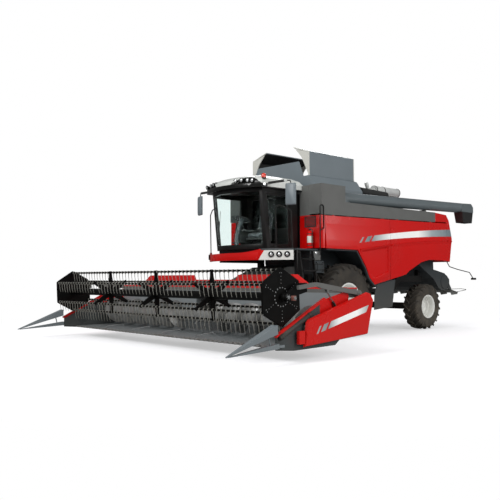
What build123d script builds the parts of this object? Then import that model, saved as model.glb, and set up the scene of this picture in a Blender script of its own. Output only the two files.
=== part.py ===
"""Combine harvester with a grain header, in millimetres.

+Z is up, -Y is the front, +X is the machine's left side.
The origin is on the ground below the front axle.
"""

from math import cos, hypot, radians, sin
import os

from build123d import *

os.makedirs("parts", exist_ok=True)

# Driving dimensions of the chassis
wheelbase = 3600
front_tyre_d = 1830
front_tyre_w = 640
front_rim_d = 813
front_wheel_x = 1250
rear_tyre_d = 1290
rear_tyre_w = 480
rear_rim_d = 610
rear_wheel_x = 1250
kingpin_x = 900
stub_r = 60
axle_gap = 0.3  # running clearance of a shaft in its bore
seat_gap = 0.3  # between pieces that rest on each other
body_half = 1640  # outer face of the side panels
panel_t = 40
core_half = 780  # threshing body, between the frame rails
rail_w = 120
floor_z = 2150  # underside of the cab
cab_base_low = 1960
cab_half = 900
cab_top = 3560
roof_half = 1000

# Driving dimensions of the tank, tube and upper body
band_low_front = 2965
band_low_rear = 3040
band_top = 3310
body_front_y = -1110
panel_seam_y = 1575
panel_rear_y = 4340
door_gap = 6  # between panels side by side
door_top_gap = 22  # between a side door and the band above it
hood_front_y = 3750
tank_front_y = -900
tank_rear_y = 920
tank_wall = 30
tank_hinge_x = 1000
tank_hinge_z = 4000
tank_side_x = 1240
cover_rise = 580
cover_lip = 530
cover_t = 24
tube_r = 145
tube_pivot_x = 1255 + tube_r  # a wider tube grows outwards and upwards, clear of hood and tank
tube_pivot_y = -45
tube_pivot_z = 3300 + tube_r
tube_end_x = 1415 + tube_r
tube_end_y = 5440
tube_end_z = 3405 + tube_r
tube_rise = 12  # degrees above level when the tube is swung out

# Driving dimensions of the header
header_half = 3840  # inner face of the end sheets
end_sheet_t = 30
auger_y = -3470
auger_z = 640
auger_r = 320
auger_core_r = 155
auger_pitch = 560
trough_r = 375
sheet_t = 40
knife_y = -4420
knife_z = 250
reel_y = -4620
reel_z = 1150
reel_plate_r = 519
reel_bar_r = 470
bar_tube_r = 20
reel_plate_x = header_half - 50
reel_plate_t = 12
tine_pitch = 150
tine_length = 230
crank_length = 70
arm_x = header_half + 65
arm_pivot_y = -2650
arm_pivot_z = 1180
hinge_y = -720  # feeder hinge
hinge_z = 1640
feeder_half = 620
pin_r = 25
lift_x = 500
lift_base = (-190, 820)  # (y, z) of the lift cylinder's barrel pin
lift_eye = (-2150, 500)
reel_lift_base = (-3060, 640)
reel_lift_eye = (-3560, 1225)


def save(piece, name):
    piece.part.label = name
    export_step(piece.part, f"parts/{name}.step")


def block(x, y, z, mode=Mode.ADD):
    """A box from its two limits along each axis."""
    middle = [(limits[0] + limits[1]) / 2 for limits in (x, y, z)]
    size = [abs(limits[1] - limits[0]) for limits in (x, y, z)]
    with Locations(tuple(middle)):
        Box(*size, mode=mode)


def side_plate(points, x, mode=Mode.ADD):
    """A side outline of (y, z) corners, extruded between two x."""
    low, high = min(x), max(x)
    with BuildSketch(Plane.YZ.offset(low)) as outline:
        with BuildLine():
            Polyline(*points, close=True)
        make_face()
    extrude(outline.sketch, amount=high - low, mode=mode)


def front_plate(points, y, mode=Mode.ADD):
    """A front outline of (x, z) corners, extruded between two y."""
    low, high = min(y), max(y)
    with BuildSketch(Plane.XZ.offset(-high)) as outline:
        with BuildLine():
            Polyline(*points, close=True)
        make_face()
    extrude(outline.sketch, amount=high - low, mode=mode)


def rod(start, end, radius, mode=Mode.ADD):
    """A round bar between two points."""
    run = Vector(end) - Vector(start)
    with BuildSketch(Plane(origin=start, z_dir=run)) as section:
        Circle(radius)
    extrude(section.sketch, amount=run.length, mode=mode)


def rail(points, radius, bend):
    """A bent tube through the corner points."""
    with BuildLine() as path:
        FilletPolyline(*points, radius=bend)
    with BuildSketch(Plane(origin=path.line @ 0, z_dir=path.line % 0)) as section:
        Circle(radius)
    sweep(section.sketch, path=path.line)


def mirrored(points):
    """A front outline of (x, z) corners, closed by its mirror image."""
    return points + [(-x, z) for x, z in reversed(points)]


def along(base, eye, distance):
    """Point on the line from base to eye, at a distance from the base."""
    run = hypot(eye[0] - base[0], eye[1] - base[1])
    share = distance / run
    return (base[0] + share * (eye[0] - base[0]), base[1] + share * (eye[1] - base[1]))


def at_x(x, point):
    return (x, point[0], point[1])


def wheel(name, sign, axle_y, wheel_x, tyre_d, tyre_w, rim_d):
    """Tyre and rim of one wheel, turned about the axle line."""
    tyre_r, rim_r, half = tyre_d / 2, rim_d / 2, tyre_w / 2
    height = tyre_r - rim_r
    edge = 0.84 * half
    bead_h = 28
    seat_r = rim_r - seat_gap
    plane = Plane(origin=(sign * wheel_x, axle_y, tyre_r), x_dir=(sign, 0, 0), z_dir=(0, -sign, 0))
    axle = Axis((0, axle_y, tyre_r), (1, 0, 0))
    with BuildPart() as whole:
        with BuildSketch(plane):
            with BuildLine():
                seat = Line((-edge, rim_r), (edge, rim_r))
                right_bead = Line(seat @ 1, (edge, rim_r + bead_h))
                right = ThreePointArc(
                    right_bead @ 1,
                    (half, rim_r + 0.45 * height),
                    (0.94 * half, rim_r + 0.86 * height),
                )
                right_shoulder = Line(right @ 1, (0.86 * half, tyre_r - 12))
                left_bead = Line(seat @ 0, (-edge, rim_r + bead_h))
                left = ThreePointArc(
                    left_bead @ 1,
                    (-half, rim_r + 0.45 * height),
                    (-0.94 * half, rim_r + 0.86 * height),
                )
                left_shoulder = Line(left @ 1, (-0.86 * half, tyre_r - 12))
                ThreePointArc(right_shoulder @ 1, (0, tyre_r), left_shoulder @ 1)
            make_face()
        revolve(axis=axle)
        with BuildSketch(plane):
            with BuildLine():
                Polyline(
                    (-edge - 14, seat_r + 25),
                    (-edge - 1, seat_r + 25),
                    (-edge - 1, seat_r),
                    (edge + 1, seat_r),
                    (edge + 1, seat_r + 25),
                    (edge + 14, seat_r + 25),
                    (edge + 14, seat_r - 14),
                    (20, seat_r - 30),
                    (-30, 150),
                    (-30, stub_r + axle_gap),
                    (-60, stub_r + axle_gap),
                    (-60, 160),
                    (-14, seat_r - 14),
                    (-edge - 14, seat_r - 14),
                    close=True,
                )
            make_face()
        revolve(axis=axle)
    save(whole, name)


sides = (("left", 1), ("right", -1))
front_axle_z = front_tyre_d / 2
rear_axle_z = rear_tyre_d / 2
for side_name, sign in sides:
    wheel(f"front_wheel_{side_name}", sign, 0, front_wheel_x, front_tyre_d, front_tyre_w, front_rim_d)
    wheel(f"rear_wheel_{side_name}", sign, wheelbase, rear_wheel_x, rear_tyre_d, rear_tyre_w, rear_rim_d)

# Front axle: gearbox beam, a final drive and stub at each end, and the lift cylinders' pins
beam_half = 120
axle_top = 1000
drive_x = front_wheel_x - 230
with BuildPart() as front_axle:
    block((-drive_x, drive_x), (-beam_half, beam_half), (front_axle_z - 110, axle_top))
    block((-260, 260), (-210, 230), (front_axle_z - 190, axle_top))
    for side_name, sign in sides:
        rod((sign * 925, 0, front_axle_z), (sign * (drive_x + 70), 0, front_axle_z), 200)
        rod((sign * drive_x, 0, front_axle_z), (sign * (front_wheel_x + 30), 0, front_axle_z), stub_r)
        x = sign * lift_x
        rod(at_x(x - 60, lift_base), at_x(x + 60, lift_base), pin_r)
        for cheek in (-48, 48):
            side_plate(
                [(-beam_half + 5, 760), (-beam_half + 5, 900), (-230, 870), (-230, 780)],
                (x + cheek - 12, x + cheek + 12),
            )
save(front_axle, "front_axle")

# Main frame: stepped rails beside the threshing body, posts and beams for feeder and cab
rail_in = core_half + 10
rail_out = rail_in + rail_w
rail_low = axle_top
rail_high = 1340
rail_height = 180
rail_rear = wheelbase + 550
step_front = wheelbase - 950  # where the rails rise to pass over the rear axle
post_y = (-800, -650)
bracket_in = feeder_half + 80
cab_beam_front = -2100
straw_front = 3640  # front edge of the straw hood's floor, and its rear edge
straw_floor_z = 1845
straw_throat = (4420, 1430)


def straw_floor(y):
    slope = (straw_throat[1] - straw_floor_z) / (straw_throat[0] - straw_front)
    return straw_floor_z + slope * (y - straw_front)


with BuildPart() as main_frame:
    for side_name, sign in sides:
        span = (sign * rail_in, sign * rail_out)
        side_plate(
            [
                (-1000, rail_low),
                (step_front, rail_low),
                (step_front + 400, rail_high),
                (rail_rear, rail_high),
                (rail_rear, rail_high + rail_height),
                (step_front + 330, rail_high + rail_height),
                (step_front - 70, rail_low + rail_height),
                (-1000, rail_low + rail_height),
            ],
            span,
        )
        block(span, post_y, (rail_low + rail_height - 5, cab_base_low - seat_gap))
        block(span, (cab_beam_front, post_y[1]), (cab_base_low - 100, cab_base_low - seat_gap))
        # bracket of the feeder hinge
        block((sign * bracket_in, sign * (rail_in + 5)), post_y, (hinge_z - 80, hinge_z + 80))
        rod(
            (sign * (bracket_in - 10), hinge_y, hinge_z),
            (sign * (rail_in - 5), hinge_y, hinge_z),
            45 + axle_gap,
            mode=Mode.SUBTRACT,
        )
        # post below the straw hood
        side_plate(
            [
                (3950, rail_high + rail_height - 5),
                (4050, rail_high + rail_height - 5),
                (4050, straw_floor(4050) - seat_gap),
                (3950, straw_floor(3950) - seat_gap),
            ],
            span,
        )
    block((-rail_in - 5, rail_in + 5), (wheelbase - 110, wheelbase + 110), (rail_high, rail_high + 150))
    side_plate(
        [
            (wheelbase - 110, rail_high + 5),
            (wheelbase + 110, rail_high + 5),
            (wheelbase + 60, rear_axle_z + 90 + seat_gap),
            (wheelbase - 60, rear_axle_z + 90 + seat_gap),
        ],
        (-150, 150),
    )
    block((-rail_in - 5, rail_in + 5), (-990, -900), (rail_low, rail_low + 100))
save(main_frame, "main_frame")

# Rear axle beam, with a fork at each end for the kingpin
rear_beam_low = rear_axle_z - 90
rear_beam_high = rear_axle_z + 90
fork_reach = kingpin_x + 60
knuckle_r = 72
kingpin_r = 34
with BuildPart() as rear_axle:
    block((-800, 800), (wheelbase - 90, wheelbase + 90), (rear_beam_low, rear_beam_high))
    for side_name, sign in sides:
        for low, high in (
            (rear_beam_high, rear_beam_high + 45),
            (rear_beam_low - 45, rear_beam_low),
        ):
            block((sign * 700, sign * fork_reach), (wheelbase - 70, wheelbase + 70), (low, high))
    with Locations(
        (kingpin_x, wheelbase, rear_axle_z),
        (-kingpin_x, wheelbase, rear_axle_z),
    ):
        Cylinder(kingpin_r + axle_gap, 400, mode=Mode.SUBTRACT)
    # steering cylinder body along the back of the beam, on two lugs
    steer_y = wheelbase + 150
    rod((-330, steer_y, rear_axle_z), (330, steer_y, rear_axle_z), 45)
    for x in (-270, 270):
        block((x - 25, x + 25), (wheelbase + 85, steer_y - 5), (rear_axle_z - 30, rear_axle_z + 30))
save(rear_axle, "rear_axle")

for side_name, sign in sides:
    with BuildPart() as knuckle:
        rod(
            (sign * kingpin_x, wheelbase, rear_beam_low + 1),
            (sign * kingpin_x, wheelbase, rear_beam_high - 1),
            knuckle_r,
        )
        rod(
            (sign * kingpin_x, wheelbase, rear_beam_low - 50),
            (sign * kingpin_x, wheelbase, rear_beam_high + 50),
            kingpin_r,
        )
        rod(
            (sign * kingpin_x, wheelbase, rear_axle_z),
            (sign * (rear_wheel_x + 10), wheelbase, rear_axle_z),
            stub_r,
        )
        side_plate(
            [
                (wheelbase + 40, rear_axle_z - 30),
                (wheelbase + 230, rear_axle_z - 30),
                (wheelbase + 230, rear_axle_z + 30),
                (wheelbase + 40, rear_axle_z + 30),
            ],
            (sign * (kingpin_x - 30), sign * (kingpin_x + 30)),
        )
    save(knuckle, f"knuckle_{side_name}")

# Threshing body between the rails
core_front = body_front_y + 60
core_top = 2930
with BuildPart() as threshing_body:
    side_plate(
        [
            (core_front, floor_z),
            (core_front, core_top),
            (3600, core_top),
            (3600, 1900),
            (3100, 1500),
            (2500, 1260),
            (1500, 1120),
            (700, 1020),
            (-200, 1020),
            (-480, 1250),
            (-640, 1850),
            (-640, floor_z),
        ],
        (-core_half, core_half),
    )
save(threshing_body, "threshing_body")

# Side frames: posts and a deck plate that carry panels and tank, and the tube's pedestal
tube_start = Vector(tube_pivot_x, tube_pivot_y, tube_pivot_z)
tube_end = Vector(tube_end_x, tube_end_y, tube_end_z)
folded = (tube_end - tube_start).normalized()
swung = Vector(cos(radians(tube_rise)), 0, sin(radians(tube_rise)))
turret_lean = (swung.Z - folded.Z) / (swung.X - folded.X)
turret_axis = Vector(-turret_lean, 0, 1).normalized()
turret_r = tube_r + 5
turret_drop = turret_r  # from the elbow's middle down to the turning ring
frame_out = body_half - panel_t - seat_gap
deck_t = 25
deck_z = core_top + deck_t
with BuildPart() as side_frames:
    for side_name, sign in sides:
        for station, low in ((core_front, 2250), (panel_seam_y - 20, 1500), (3560, 2050)):
            block((sign * core_half, sign * frame_out), (station, station + 40), (low, deck_z))
            block((sign * (frame_out - 110), sign * frame_out), (station, station + 40), (core_top, 3100))
        block((sign * core_half, sign * frame_out), (core_front, 3600), (core_top, deck_z))
    ring = tube_start - turret_axis * (turret_drop + seat_gap)
    foot = tube_start - turret_axis * (turret_drop + 120)
    rod(ring, foot, turret_r)
    block(
        (tube_pivot_x - 110, tube_pivot_x + 195),
        (tube_pivot_y - 130, tube_pivot_y + 130),
        (deck_z - 5, foot.Z + 20),
    )
save(side_frames, "side_frames")

# Grain tank: a sheet hopper with sloped floors, shoulders, gable ends and the filling auger
hopper_low = core_top + seat_gap
tank_rim_z = tank_hinge_z - 30
hinge_rod_r = 22
gable_rise = 350
gable_t = 12
tank_outside = [
    (290, hopper_low),
    (tank_side_x, 3380),
    (tank_side_x, 3700),
    (tank_hinge_x + 60, tank_rim_z),
]
tank_inside = [
    (278, hopper_low + tank_wall),
    (tank_side_x - tank_wall, 3395),
    (tank_side_x - tank_wall, 3690),
    (tank_hinge_x + 25, tank_rim_z),
]
with BuildPart() as grain_tank:
    front_plate(mirrored(tank_outside), (tank_front_y - tank_wall, tank_rear_y + tank_wall))
    front_plate(mirrored(tank_inside), (tank_front_y, tank_rear_y), mode=Mode.SUBTRACT)
    for side_name, sign in sides:
        block(
            (sign * (tank_hinge_x - 5), sign * (tank_hinge_x + 55)),
            (tank_front_y - 5, tank_rear_y + 5),
            (tank_rim_z - 2, tank_hinge_z - hinge_rod_r - seat_gap),
        )
    for middle_y in (tank_front_y - tank_wall / 2, tank_rear_y + tank_wall / 2):
        front_plate(
            mirrored([(900, tank_rim_z - 20), (740, tank_hinge_z + gable_rise)]),
            (middle_y - gable_t / 2, middle_y + gable_t / 2),
        )
    rod((0, 300, hopper_low + 75), (0, -150, 3550), 110)
save(grain_tank, "grain_tank")

# Upper bands with the tank's side blocks, and the hinge line of the side doors
block_rear_y = tube_pivot_y - tube_r - 45
side_block_top = 3700
hinge_x = body_half - 4
hinge_drop = 12
knuckle_half = 30
hinge_r = 9
front_door_hinges = (-700, 1250)
rear_door_hinges = (1900, 3500)


def band_low(y):
    slope = (band_low_rear - band_low_front) / (hood_front_y - body_front_y)
    return band_low_front + slope * (y - body_front_y)


def hinge_knuckle(sign, low_y, high_y, web):
    """A length of hinge barrel, with a web to the height offsets (low, high) beside it."""
    low_z, high_z = band_low(low_y) - hinge_drop, band_low(high_y) - hinge_drop
    rod((sign * hinge_x, low_y, low_z), (sign * hinge_x, high_y, high_z), hinge_r)
    block(
        (sign * (body_half - 13), sign * body_half),
        (low_y, high_y),
        (low_z + web[0], low_z + web[1]),
    )


with BuildPart() as upper_bands:
    for side_name, sign in sides:
        side_plate(
            [
                (body_front_y, band_low_front),
                (hood_front_y, band_low_rear),
                (hood_front_y, band_top),
                (block_rear_y, band_top),
                (block_rear_y, side_block_top),
                (body_front_y, side_block_top),
            ],
            (sign * (body_half - panel_t), sign * body_half),
        )
        across = (sign * (tank_side_x + 10), sign * (body_half - panel_t + 5))
        block(across, (body_front_y, body_front_y + panel_t), (deck_z + 35, side_block_top))
        block(across, (block_rear_y - panel_t, block_rear_y), (deck_z + 35, side_block_top))
        block(across, (body_front_y, block_rear_y), (side_block_top - panel_t, side_block_top))
        for station in front_door_hinges + rear_door_hinges:
            hinge_knuckle(sign, station - 2 * knuckle_half, station - knuckle_half - seat_gap, (0, 18))
            hinge_knuckle(sign, station + knuckle_half + seat_gap, station + 2 * knuckle_half, (0, 18))
save(upper_bands, "upper_bands")

# Front wall of the upper body, behind the cab, with the rounded body corners
front_door_y = body_front_y + 130
wall_top = 3690
with BuildPart() as front_wall:
    block((-body_half, body_half), (body_front_y, core_front), (floor_z + 25, band_low_front - 10))
    fillet(front_wall.edges().filter_by(Axis.Z).group_by(Axis.Y)[0], 45)
    for side_name, sign in sides:
        block(
            (sign * (body_half - panel_t), sign * body_half),
            (core_front - 5, front_door_y - door_gap),
            (floor_z + 25, band_low_front - 10),
        )
    wall_half = tank_side_x + 10 - seat_gap
    block((-wall_half, wall_half), (body_front_y, core_front), (band_low_front - 15, wall_top))
    block(
        (-roof_half - 10, roof_half + 10),
        (body_front_y - 5, core_front + 5),
        (cab_top - 10, wall_top + 5),
        mode=Mode.SUBTRACT,
    )
save(front_wall, "front_wall")

# Guards over the front wheels, with the grey arch rims and the shields behind the wheels
arch_line = [(870, 1270), (660, 1440), (500, 1720), (180, 2120), (-940, 2130)]
guard_line = [(985, 1240), (870, 1420), (620, 1790), (180, 2140), (-940, 2150)]
rim_w = 26
web_out = body_half - panel_t
web_in = web_out - 14
with BuildPart() as wheel_guards:
    for side_name, sign in sides:
        guard_top = [(y + 14, z + 20) for y, z in guard_line]
        side_plate(guard_line + guard_top[::-1], (sign * (rail_out + seat_gap), sign * web_out))
        side_plate(arch_line + guard_top[::-1], (sign * web_in, sign * web_out))
        rim_top = [(y + rim_w, z + rim_w * 0.7) for y, z in arch_line]
        side_plate(arch_line + rim_top[::-1], (sign * (web_out - 2), sign * body_half))
        # foot on the frame rail
        block(
            (sign * rail_in, sign * (rail_out + 15)),
            (960, 1015),
            (rail_low + rail_height + seat_gap, 1258),
        )
        side_plate(
            [(1010, 1240), (1010, 1290), (1830, 1420), (1690, 710), (920, 650), (935, 1000)],
            (sign * web_in, sign * (web_in + 20)),
        )
        block((sign * (rail_out + seat_gap), sign * (web_in + 5)), (1300, 1360), (1030, 1090))
save(wheel_guards, "wheel_guards")

# Side doors: two on each side, hinged along the band's lower edge


def side_door(outline, sign, name, hinges, hollow):
    """A door cut to its outline, crowned at mid height, with a tapered hollow."""
    skin_in = body_half - panel_t + 6
    crown = body_half + 24
    ends = (body_front_y, panel_rear_y + 20)
    with BuildPart() as panel:
        side_plate(outline, (sign * skin_in, sign * crown))
        front_plate(
            [
                (sign * crown, 2380),
                (sign * (crown + 60), 2380),
                (sign * (crown + 60), 3200),
                (sign * body_half, 3200),
                (sign * body_half, 2760),
            ],
            ends,
            mode=Mode.SUBTRACT,
        )
        front_plate(
            [
                (sign * crown, 2240),
                (sign * (crown + 60), 2240),
                (sign * (crown + 60), 1200),
                (sign * (body_half - 6), 1200),
                (sign * body_half, 1560),
            ],
            ends,
            mode=Mode.SUBTRACT,
        )
        if hollow:
            plane = Plane(origin=(sign * crown, 0, 0), x_dir=(0, -sign, 0), z_dir=(-sign, 0, 0))
            with BuildSketch(plane) as pocket:
                with BuildLine():
                    Polyline(*[(-sign * y, z) for y, z in hollow], close=True)
                make_face()
            extrude(pocket.sketch, amount=40, taper=35, mode=Mode.SUBTRACT)
        for station in hinges:
            hinge_knuckle(sign, station - knuckle_half, station + knuckle_half, (-12, 0))
    save(panel, name)


def door_top(y):
    return band_low(y) - door_top_gap


front_outline = [
    (front_door_y, door_top(front_door_y)),
    (panel_seam_y - door_gap, door_top(panel_seam_y)),
    (panel_seam_y - door_gap, 1418),
    (905, 1296),
    (702, 1466),
    (540, 1748),
    (207, 2158),
    (front_door_y, 2170),
]
rear_outline = [
    (panel_seam_y + door_gap, door_top(panel_seam_y)),
    (panel_rear_y, door_top(panel_rear_y)),
    (panel_rear_y, 1935),
    (4170, 1950),
    (3390, 1960),
    (3010, 1890),
    (2430, 1650),
    (2280, 1550),
    (panel_seam_y + door_gap, 1420),
]
front_hollow = [(330, 2140), (1500, 2290), (1500, 1620), (930, 1440), (790, 1500)]
for side_name, sign in sides:
    side_door(front_outline, sign, f"side_door_front_{side_name}", front_door_hinges, front_hollow)
    side_door(rear_outline, sign, f"side_door_rear_{side_name}", rear_door_hinges, None)

# Engine under its hood, with the air duct and the deck behind it
with BuildPart() as engine_block:
    block((-500, 500), (1250, 2350), (core_top + seat_gap, 3480))
save(engine_block, "engine_block")

engine_hood_half = 1280
engine_hood_top = 3600
rear_deck_top = 3205
deck_front = 2735
with BuildPart() as engine_hood:
    side_plate(
        [(960, deck_z), (960, engine_hood_top), (2520, engine_hood_top), (2700, 3480), (2740, deck_z)],
        (-engine_hood_half, engine_hood_half),
    )
    side_plate(
        [(1000, deck_z - 5), (1000, 3560), (2500, 3560), (2660, 3450), (2700, deck_z - 5)],
        (-engine_hood_half + 40, engine_hood_half - 40),
        mode=Mode.SUBTRACT,
    )
    block((-frame_out, frame_out), (deck_front, hood_front_y), (rear_deck_top - 55, rear_deck_top))
    for side_name, sign in sides:
        block((sign * 1300, sign * 1340), (deck_front, 3600), (deck_z, rear_deck_top - 50))
    # saddle below the folded unloading tube
    saddle_y = 3330
    saddle_at = tube_start + folded * ((saddle_y - tube_pivot_y) / folded.Y)
    block(
        (saddle_at.X - 90, frame_out),
        (saddle_y - 30, saddle_y + 30),
        (rear_deck_top - 5, saddle_at.Z - tube_r - 5),
    )
    rod((980, 1150, 3760), (980, 2300, 3720), 105)
    block((930, 1030), (1250, 1330), (engine_hood_top - 5, 3680))
    block((930, 1030), (2100, 2180), (engine_hood_top - 5, 3660))
save(engine_hood, "engine_hood")

silencer_x = 560
silencer_z = 3930
silencer_r = 130
foot_x = (silencer_x - 90, silencer_x + 90)
with BuildPart() as silencer:
    rod((silencer_x, 2330, silencer_z), (silencer_x, 3430, silencer_z), silencer_r)
    rod((silencer_x, 2250, silencer_z), (silencer_x, 2330, silencer_z), 70)
    rail(
        [
            (silencer_x, 2260, silencer_z),
            (silencer_x, 2080, silencer_z),
            (silencer_x, 1990, silencer_z + 190),
        ],
        52,
        60,
    )
    block(foot_x, (2400, 2430), (engine_hood_top + seat_gap, silencer_z - 60))
    block(foot_x, (3300, 3340), (rear_deck_top + seat_gap, silencer_z - 60))
save(silencer, "exhaust_silencer")

# Red rear hood
hood_lip = 6
with BuildPart() as rear_hood:
    side_plate(
        [
            (hood_front_y + seat_gap, band_low(hood_front_y) + hood_lip),
            (hood_front_y + seat_gap, band_top),
            (4330, 3275),
            (4470, 3120),
            (4630, 2580),
            (4500, 1910),
            (4360, 1935),
            (4360, band_low(4360) + hood_lip),
        ],
        (-body_half, body_half),
    )
    side_plate(
        [
            (hood_front_y - 40, band_low(hood_front_y) - 60),
            (hood_front_y - 40, band_top - 45),
            (4300, 3230),
            (4425, 3100),
            (4580, 2580),
            (4455, 1850),
            (4300, 1850),
            (4300, band_low(4360) - 60),
        ],
        (-body_half + panel_t, body_half - panel_t),
        mode=Mode.SUBTRACT,
    )
save(rear_hood, "rear_hood")

# Straw hood behind the body, running into the chopper housing
straw_half = 1130
chopper_y = 5030
chopper_z = 1330
board_y = 5345  # hinge of the spreader board
board_z = 1095
board_hinge_r = 20
with BuildPart() as straw_hood:
    side_plate(
        [
            (straw_front, straw_floor_z),
            (straw_front, 2860),
            (4200, 2860),
            (4400, 2500),
            (4430, 1700),
            (5030, 1590),
            (5300, 1410),
            (5310, 1220),
            (5180, 1110),
            (4860, 1070),
            (4660, 1180),
            (4550, 1310),
            straw_throat,
        ],
        (-straw_half, straw_half),
    )
    side_plate(
        [
            (3670, 1880),
            (3670, 2830),
            (4180, 2830),
            (4370, 2490),
            (4402, 1675),
            (5020, 1560),
            (5275, 1395),
            (5340, 1330),
            (5340, 1180),
            (5165, 1142),
            (4870, 1102),
            (4680, 1205),
            (4575, 1330),
            (4437, 1458),
        ],
        (-straw_half + 30, straw_half - 30),
        mode=Mode.SUBTRACT,
    )
    for side_name, sign in sides:
        rod(
            (sign * (straw_half - 5), chopper_y, chopper_z),
            (sign * (straw_half + 16), chopper_y, chopper_z),
            215,
        )
        # lug that holds the spreader board's hinge
        lug = (sign * (straw_half - 5), sign * (straw_half + 25))
        side_plate(
            [
                (5160, 1150),
                (5270, 1260),
                (board_y + 30, board_z + 22),
                (board_y + 12, board_z - 38),
                (board_y - 20, board_z - 34),
            ],
            lug,
        )
        rod((lug[0], board_y, board_z), (lug[1], board_y, board_z), board_hinge_r + 16)
        rod(
            (sign * (straw_half - 60), board_y, board_z),
            (sign * (straw_half + 30), board_y, board_z),
            board_hinge_r + axle_gap,
            mode=Mode.SUBTRACT,
        )
save(straw_hood, "straw_hood")

board_half = straw_half - 12
with BuildPart() as spreader_board:
    side_plate(
        [
            (board_y, board_z - 12),
            (board_y + 470, board_z - 110),
            (board_y + 470, board_z - 85),
            (board_y, board_z + 13),
        ],
        (-board_half, board_half),
    )
    for x in (-1100, -740, -370, 0, 370, 740, 1100):
        side_plate(
            [
                (board_y + 20, board_z - 16),
                (board_y + 460, board_z - 105),
                (board_y + 460, board_z - 150),
                (board_y + 120, board_z - 170),
            ],
            (x - 6, x + 6),
        )
    rod((-straw_half - 30, board_y, board_z), (straw_half + 30, board_y, board_z), board_hinge_r)
    for side_name, sign in sides:
        rail(
            [
                (sign * 1080, board_y + 5, board_z + 10),
                (sign * 1330, board_y + 300, board_z + 20),
                (sign * 1330, board_y + 660, board_z - 15),
                (sign * 1000, board_y + 465, board_z - 95),
            ],
            8,
            60,
        )
save(spreader_board, "spreader_board")

# Tank covers: a rising sheet with an inward lip, and a flange at each end
lip_rise = 170
cover_front = tank_front_y + 45
cover_rear = tank_rear_y - 25
cover_in = tank_hinge_x - cover_t / 2
cover_out = tank_hinge_x + cover_t / 2
lip_x = tank_hinge_x - (cover_lip**2 - lip_rise**2) ** 0.5
cover_top = tank_hinge_z + cover_rise
for side_name, sign in sides:
    sheet = [
        (sign * cover_out, tank_hinge_z),
        (sign * cover_out, cover_top),
        (sign * lip_x, cover_top + lip_rise),
        (sign * (lip_x + 4), cover_top + lip_rise - cover_t),
        (sign * cover_in, cover_top - cover_t),
        (sign * cover_in, tank_hinge_z),
    ]
    flange = [
        (sign * cover_in, tank_hinge_z + 20),
        (sign * cover_in, cover_top - cover_t),
        (sign * (lip_x + 60), cover_top + lip_rise - 60),
        (sign * (tank_hinge_x - 230), cover_top - 120),
    ]
    with BuildPart() as cover:
        front_plate(sheet, (cover_front, cover_rear))
        for y in (cover_front, cover_rear - cover_t):
            front_plate(flange, (y, y + cover_t))
        rod(
            (sign * tank_hinge_x, cover_front, tank_hinge_z),
            (sign * tank_hinge_x, cover_rear, tank_hinge_z),
            hinge_rod_r,
        )
    save(cover, f"tank_cover_{side_name}")

# Unloading tube on its leaning turret, and the rubber spout
spout_top = tube_end_z - tube_r + 16
spout_x = 2 * tube_r - 10
with BuildPart() as unloading_tube:
    rod(tube_start, tube_start - turret_axis * (turret_drop - 15), tube_r - 12)
    rod(
        tube_start - turret_axis * (turret_drop - 20),
        tube_start - turret_axis * turret_drop,
        turret_r,
    )
    with Locations(tube_start):
        Sphere(tube_r)
    rod(tube_start, tube_end, tube_r)
    side_plate(
        [
            (tube_end_y - 320, tube_end_z - 130),
            (tube_end_y - 320, tube_end_z - 20),
            (tube_end_y - 200, tube_end_z + 120),
            (tube_end_y + 200, tube_end_z + 135),
            (tube_end_y + 320, tube_end_z + 30),
            (tube_end_y + 320, tube_end_z - 130),
        ],
        (tube_end_x - tube_r, tube_end_x + tube_r),
    )
    with BuildSketch(Plane.XY.offset(spout_top)):
        with Locations((tube_end_x, tube_end_y)):
            Rectangle(spout_x, 620)
    with BuildSketch(Plane.XY.offset(spout_top - 320)):
        with Locations((tube_end_x, tube_end_y + 15)):
            Rectangle(spout_x - 30, 500)
    loft()
    with BuildSketch(Plane.XY.offset(spout_top - 20)):
        with Locations((tube_end_x, tube_end_y)):
            Rectangle(spout_x - 30, 590)
    with BuildSketch(Plane.XY.offset(spout_top - 321)):
        with Locations((tube_end_x, tube_end_y + 15)):
            Rectangle(spout_x - 60, 470)
    loft(mode=Mode.SUBTRACT)
save(unloading_tube, "unloading_tube")

# Cab: floor, pillars, rear wall and roof ring in one frame with its windows cut
cab_rear = -1150
pillar_low_y = -2180
pillar_high_y = -2330
bow_low_y = -2500
bow_high_y = -2650
cab_wall = 50
sill_z = 2260
head_z = 3470
window_inset = 70
door_hinge_r = 10
door_hinge_x = cab_half + 12
door_hinge_stations = (2400, 3270)


def cab_outline(inset, z):
    """Plan outline of the cab at a height: straight sides and a bowed front."""
    share = (z - floor_z) / (cab_top - floor_z)
    corner_y = pillar_low_y + share * (pillar_high_y - pillar_low_y)
    bow_y = bow_low_y + share * (bow_high_y - bow_low_y)
    half = cab_half - inset
    with BuildSketch(Plane.XY.offset(z)) as plan:
        with BuildLine():
            back = Line((half, cab_rear - inset), (-half, cab_rear - inset))
            left = Line(back @ 1, (-half, corner_y + inset))
            front = ThreePointArc(left @ 1, (0, bow_y + inset), (half, corner_y + inset))
            Line(front @ 1, back @ 0)
        make_face()
    return plan.sketch


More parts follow.
